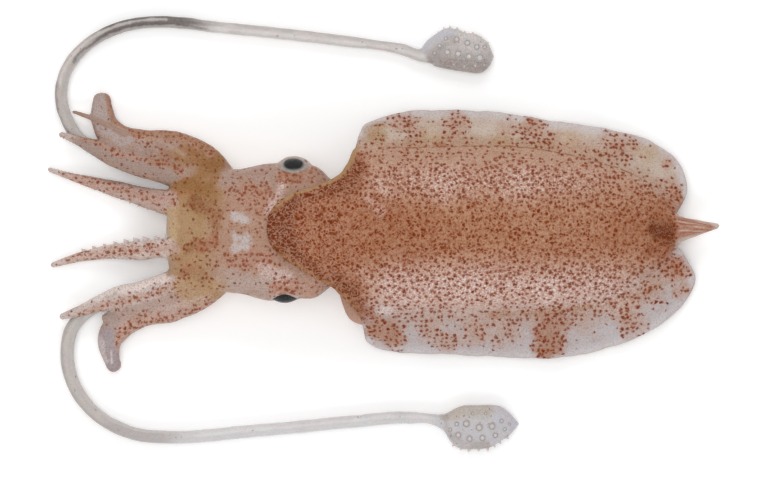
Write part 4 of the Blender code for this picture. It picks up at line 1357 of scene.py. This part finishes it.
stalkSize = {
    # longer-stalked suckers that stand out beside the upper arms: how far round the arm, how many,
    # first and last share of its length, and size
    "arm_1_left": (0.75, 9, 0.27, 0.78, 0.9),
    "arm_1_right": (0.26, 9, 0.26, 0.7, 0.3),
}
stalkShape = {
    "back": 0.03,  # share of the arm's length over which its direction is read
    "lean": 0.7,  # how far a stalk leans towards the arm's tip
    "taper": 0.55,  # how much smaller they get along the arm
    "luck": (0.75, 0.4, 2.6),  # least size, how much it varies, and how quickly from one to the next
    "wide": 1.15,  # these three are shares of a stalk's size
    "long": 1.8,
    "out": 0.5,
}
toothShape = {
    "wide": 1.3,  # shares of a tooth's radius
    "long": 2.2,
    "height": 1.5,  # of its tip, in mm
    "across": 1.6,  # over 1, they point more across the club than along it
}
clubSuckers = {
    # x, y and radius of the large suckers on each club's face
    "tentacle_right": [
        (16.6, 43.4, 0.8), (18.9, 43.1, 0.85), (21.0, 42.2, 0.8), (22.9, 41.8, 0.6), (14.6, 40.9, 0.95),
        (17.0, 40.6, 1.0), (19.5, 40.0, 1.0), (21.9, 39.6, 1.1), (12.6, 42.2, 0.6), (14.3, 43.6, 0.55),
        (18.4, 37.6, 0.5), (20.7, 37.6, 0.55), (16.0, 38.2, 0.4), (22.8, 37.9, 0.4), (11.6, 40.4, 0.45),
    ],
    "tentacle_left": [
        (18.7, -43.0, 1.0), (21.5, -43.0, 1.05), (24.3, -42.8, 1.0),
        (16.9, -45.3, 0.85), (19.6, -45.9, 0.9),
        (22.5, -45.6, 0.9), (25.2, -45.2, 0.8), (16.4, -42.4, 0.6), (26.7, -42.2, 0.6), (27.2, -44.0, 0.55),
        (15.2, -43.8, 0.5), (28.6, -42.8, 0.4), (20.0, -40.6, 0.45), (23.0, -40.6, 0.4),
    ],
}
clubTeeth = {
    # suckers in profile round each club's edge: x and y of the tip, and radius
    "tentacle_right": [
        (12.3, 45.4, 0.34), (13.6, 46.4, 0.4), (15.0, 46.7, 0.42), (16.6, 46.5, 0.42), (18.4, 45.6, 0.34),
        (20.3, 45.4, 0.34), (22.2, 44.4, 0.34), (23.8, 43.0, 0.3),
    ],
    "tentacle_left": [
        (15.6, -47.8, 0.36), (17.4, -48.6, 0.42), (19.2, -49.0, 0.5),
        (21.5, -48.9, 0.44), (23.6, -48.8, 0.5),
        (25.2, -48.0, 0.36), (26.5, -47.2, 0.36), (28.3, -46.0, 0.42),
    ],
}


def makeCup(kind):
    # a sucker: a stalk with a raised rim, a groove and a boss
    size = suckerSize[kind]
    bpy.ops.object.select_all(action="DESELECT")
    bpy.ops.mesh.primitive_cylinder_add(
        vertices=size["sides"], radius=1 * mm, depth=suckerSize["height"] * mm, end_fill_type="NGON"
    )
    cup = bpy.context.object
    for part in (cup.data.vertices, cup.data.edges, cup.data.polygons):
        for item in part:
            item.select = False
    for point in cup.data.vertices:
        point.select = point.co.z > 0
    bpy.ops.object.mode_set(mode="EDIT")
    bpy.ops.mesh.select_mode(type="VERT")
    bpy.ops.transform.resize(value=(size["flare"], size["flare"], 1))
    bpy.ops.mesh.select_mode(type="FACE")
    for inset, lift in size["steps"]:
        bpy.ops.mesh.inset(thickness=inset * mm)
        bpy.ops.transform.translate(value=(0, 0, lift * mm))
    bpy.ops.object.mode_set(mode="OBJECT")
    bpy.ops.object.shade_smooth()
    # the groove ring is painted darker as painted shade in the groove; club cups keep darker sides under a
    # paler top, and the boss is paler
    paint = Paint(cup, (160, 152, 148) if kind == "club" else (190, 174, 168))
    radius = np.linalg.norm(paint.points[:, :2], axis=1)
    top = paint.points[:, 2] > 0.1
    if kind == "cone":
        paint.blend(top * 1.0, (214, 202, 198))
    else:
        paint.blend(top * 1.0, (182, 176, 174))
        paint.blend(top * (np.abs(radius - 0.66) < 0.06), (152, 143, 139))
        paint.blend(top * (radius < 0.4), (198, 194, 193))
    writeSpread(cup, paint.points[:, :2])
    paint.finish()
    return cup


def placeCup(cup, place, direction, size):
    copy = cup.copy()
    copy.data = cup.data.copy()
    bpy.context.scene.collection.objects.link(copy)
    turn = np.array(Vector((0, 0, 1)).rotation_difference(Vector(direction)).to_matrix())
    points = (pointsOf(cup) * size) @ turn.T + place
    points[:, 2] = np.maximum(points[:, 2], 0.02)
    setPoints(copy, points)
    return copy


def makeArmSuckers(cup):
    size = suckerSize
    copies = []
    for name, rows in armRows.items():
        if name == "arm_3_right":
            continue
        run = size["bluntRun"] if "arm_4" in name else size["run"]
        shares = size["start"] + run * np.linspace(0, 1, size["rows"]) ** size["crowding"]
        middles = alongPath(rows, shares)
        centres = middles[:, :3] + np.column_stack([np.zeros((len(shares), 2)), middles[:, 4] / 2])
        for turn in (size["turn"], 1 - size["turn"]):
            places = limbPoints(rows, shares, np.full(len(shares), turn))
            for place, centre, width in zip(places, centres, middles[:, 3]):
                away = (place - centre) / np.linalg.norm(place - centre)
                reach = min(max(size["share"] * width, size["smallest"]), size["largest"])
                sizes = (reach, reach, reach * size["squat"])
                copies.append(placeCup(cup, place + away * reach * size["lift"], away, sizes))
    return copies


def makeStalks(cone):
    shape = stalkShape
    copies = []
    for name, (turn, count, start, end, reach) in stalkSize.items():
        rows = armRows[name]
        shares = np.linspace(start, end, count)
        places = limbPoints(rows, shares, np.full(count, turn))
        before = shifted(rows, 0, start - shape["back"], end - shape["back"], count)
        forward = shifted(rows, 0, start, end, count) - before
        middles = alongPath(rows, shares)
        for i, place in enumerate(places):
            out = np.append(place[:2] - middles[i, :2], 0.0)
            lean = np.append(forward[i] / np.linalg.norm(forward[i]), 0) * shape["lean"]
            away = out / np.linalg.norm(out) + lean
            away = away / np.linalg.norm(away)
            least, more, pace = shape["luck"]
            size = reach * (1 - shape["taper"] * i / count) * (least + more * math.sin(pace * i) ** 2)
            sizes = (size * shape["wide"], size * shape["wide"], size * shape["long"])
            copies.append(placeCup(cone, place + away * size * shape["out"], away, sizes))
    return copies


def makeClubSuckers(cup, cone, name, piece):
    points, normals = pointsOf(piece), normalsOf(piece)
    underneath = normals[:, 2] <= 0.1
    copies = []
    for x, y, reach in clubSuckers[name]:
        nearest = np.argmin(np.hypot(points[:, 0] - x, points[:, 1] - y) + 99 * underneath)
        place = points[nearest] - normals[nearest] * suckerSize["clubSunk"]
        copies.append(placeCup(cup, place, normals[nearest], (reach, reach, suckerSize["clubThick"])))
    middle = np.mean([row[:2] for row in tentacleSize[name]["club"]], axis=0)
    wide, long = toothShape["wide"], toothShape["long"]
    for x, y, reach in clubTeeth[name]:
        away = np.array([x - middle[0], (y - middle[1]) * toothShape["across"], 0.0])
        away /= np.linalg.norm(away)
        place = np.array([x, y, toothShape["height"]]) - away * reach
        copies.append(placeCup(cone, place, away, (reach * wide, reach * wide, reach * long)))
    return copies


def dress(piece, material, slot, *nodes):
    if material:
        piece.data.materials.clear()
        piece.data.materials.append(material)
    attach(piece, "root")
    if nodes:
        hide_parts(*nodes)
    return piece


def tidyMerge(copies, name):
    piece = joinPieces(copies, name)
    bpy.ops.object.shade_smooth_by_angle(angle=math.radians(50))
    return piece


mottle = {
    "cell": 1.02,  # distance between pigment spots
    "loose": 0.9,
    "reach": (0.19, 0.4),  # smallest and largest spot, as shares of that distance
    "soft": 0.09,
    "many": 1.15,
    "wobble": 0.85,
    "cloud": 0.14,
    "patch": 0.3,
    "weave": 1.0,
    "thread": 0.45,
    "gritty": 0.85,
    "crease": 0.7,
    "grain": 0.65,
    "halo": 0.58,
    "subsurface": 0.0,
    "deep": tint(138, 84, 54),
    "bright": tint(208, 164, 138),
    # colour of the painted highlight glint specks
    "white": tint(230, 216, 212),
    "brown": tint(148, 70, 26),
    "spot": tint(106, 38, 4),
    "coat": 0.0,
    "shine": 0.07,
    "rough": (0.36, 0.52),
    "bump": 0.45,
}
skin = skinMaterial("spotted_skin", mottle)
armMottle = {
    "halo": 0.3, "coat": 0.08, "shine": 0.2, "rough": (0.32, 0.48), "weave": 0.7, "grain": 0.9,
    "deep": tint(138, 96, 66), "spot": tint(112, 50, 18),
}
paleMottle = {
    "cell": 1.5, "reach": (0.07, 0.15), "halo": 0.0, "cloud": 0.1, "patch": 0.2, "weave": 0.35,
    "grain": 0.2, "coat": 0.2, "shine": 0.3, "rough": (0.24, 0.38), "bump": 0.25, "subsurface": 0.3,
    "deep": tint(150, 140, 136), "bright": tint(226, 224, 224), "brown": tint(140, 122, 114),
    "spot": tint(104, 78, 66),
}
armSkin = skinMaterial("arm_skin", {**mottle, **armMottle})
paleSkin = skinMaterial("pale_skin", {**mottle, **paleMottle})
print("materials made")

body = makeBody()
paintBody(body)
dress(body, skin, "flesh", "cuttlefish")
dress(makeCollar(), skin, "flesh", "cuttlefish")
print("mantle and fins made")

head = makeHead()
paintHead(head)
dress(head, armSkin, "flesh", "cuttlefish")
print("head and arms made")

for eyeName in eyeNames:
    ball, cornea = makeEye(eyeName)
    dress(ball, None, "eye", eyeName)
    dress(cornea, None, "eye", eyeName)
print("eyes made")

cups = {kind: makeCup(kind) for kind in ("arm", "club", "cone")}
suckers = makeArmSuckers(cups["arm"]) + makeStalks(cups["cone"])
for limbName in ("tentacle_right", "tentacle_left"):
    limb = makeTentacle(limbName)
    paintTentacle(limb, limbName)
    dress(limb, paleSkin, "flesh", "cuttlefish")
    suckers += makeClubSuckers(cups["club"], cups["cone"], limbName, limb)
for cup in cups.values():
    bpy.data.objects.remove(cup)
dress(tidyMerge(suckers, "suckers"), paleSkin, "flesh", "cuttlefish")
print("tentacles made")


stageSize = {
    "floor": {"size": 6.0, "height": -0.05, "roughness": 0.9, "grey": 0.97, "glow": 0.1},
    "world": 0.62,
    # place and size of each rectangle of light in metres, and its power in watts
    "lights": {
        "side_far": ((0.0, 0.75, 0.5), (0.9, 0.3), 2.2),
        "side_near": ((0.0, -0.75, 0.5), (0.9, 0.3), 2.2),
        "above": ((-0.25, 0.1, 1.1), (0.8, 0.8), 3.0),
    },
    "lens": 200,
    "frame": 768 / 675,  # the frame is this much wider than the animal
    "aim": (0.003, -0.011),  # from the animal's middle, as shares of its length
    "top": 4.0,  # height of the level at which the frame is that wide
}


def makeFloor():
    look = stageSize["floor"]
    bpy.ops.object.select_all(action="DESELECT")
    bpy.ops.mesh.primitive_plane_add(size=look["size"], location=(0, 0, look["height"] * mm))
    floor = bpy.context.object
    floor.name = "floor"
    shader = Shader("pale_floor", Roughness=look["roughness"], Emission_Strength=look["glow"])
    shader.surface.inputs["Base Color"].default_value = (look["grey"],) * 3 + (1,)
    shader.surface.inputs["Emission Color"].default_value = (1, 1, 1, 1)
    floor.data.materials.append(shader.material)


def makeLight(name, place, size, power):
    data = bpy.data.lights.new(name, "AREA")
    data.shape = "RECTANGLE"
    data.size, data.size_y = size
    data.energy = power
    lamp = bpy.data.objects.new(name, data)
    bpy.context.scene.collection.objects.link(lamp)
    lamp.location = place
    lamp.rotation_euler = (-Vector(place)).to_track_quat("-Z", "Y").to_euler()


def makeStage():
    makeFloor()
    for name, light in stageSize["lights"].items():
        makeLight(name, *light)
    world = bpy.data.worlds.new("pale_room")
    bpy.context.scene.world = world
    world.use_nodes = True
    world.node_tree.nodes["Background"].inputs[0].default_value = (1, 1, 1, 1)
    world.node_tree.nodes["Background"].inputs[1].default_value = stageSize["world"]
    bpy.context.scene.view_settings.view_transform = "Standard"


def makeCamera():
    data = bpy.data.cameras.new("camera")
    data.lens = stageSize["lens"]
    camera = bpy.data.objects.new("camera", data)
    bpy.context.scene.collection.objects.link(camera)
    length = fleshHigh[0] - fleshLow[0]
    aside, down = stageSize["aim"]
    aim = (fleshLow + fleshHigh) / 2 + (aside * length, down * length, 0)
    height = length * stageSize["frame"] * data.lens / data.sensor_width + stageSize["top"]
    camera.location = (aim[0] * mm, aim[1] * mm, height * mm)
    data.clip_end = 10
    bpy.context.scene.camera = camera


makeStage()
makeCamera()
print("stage made")
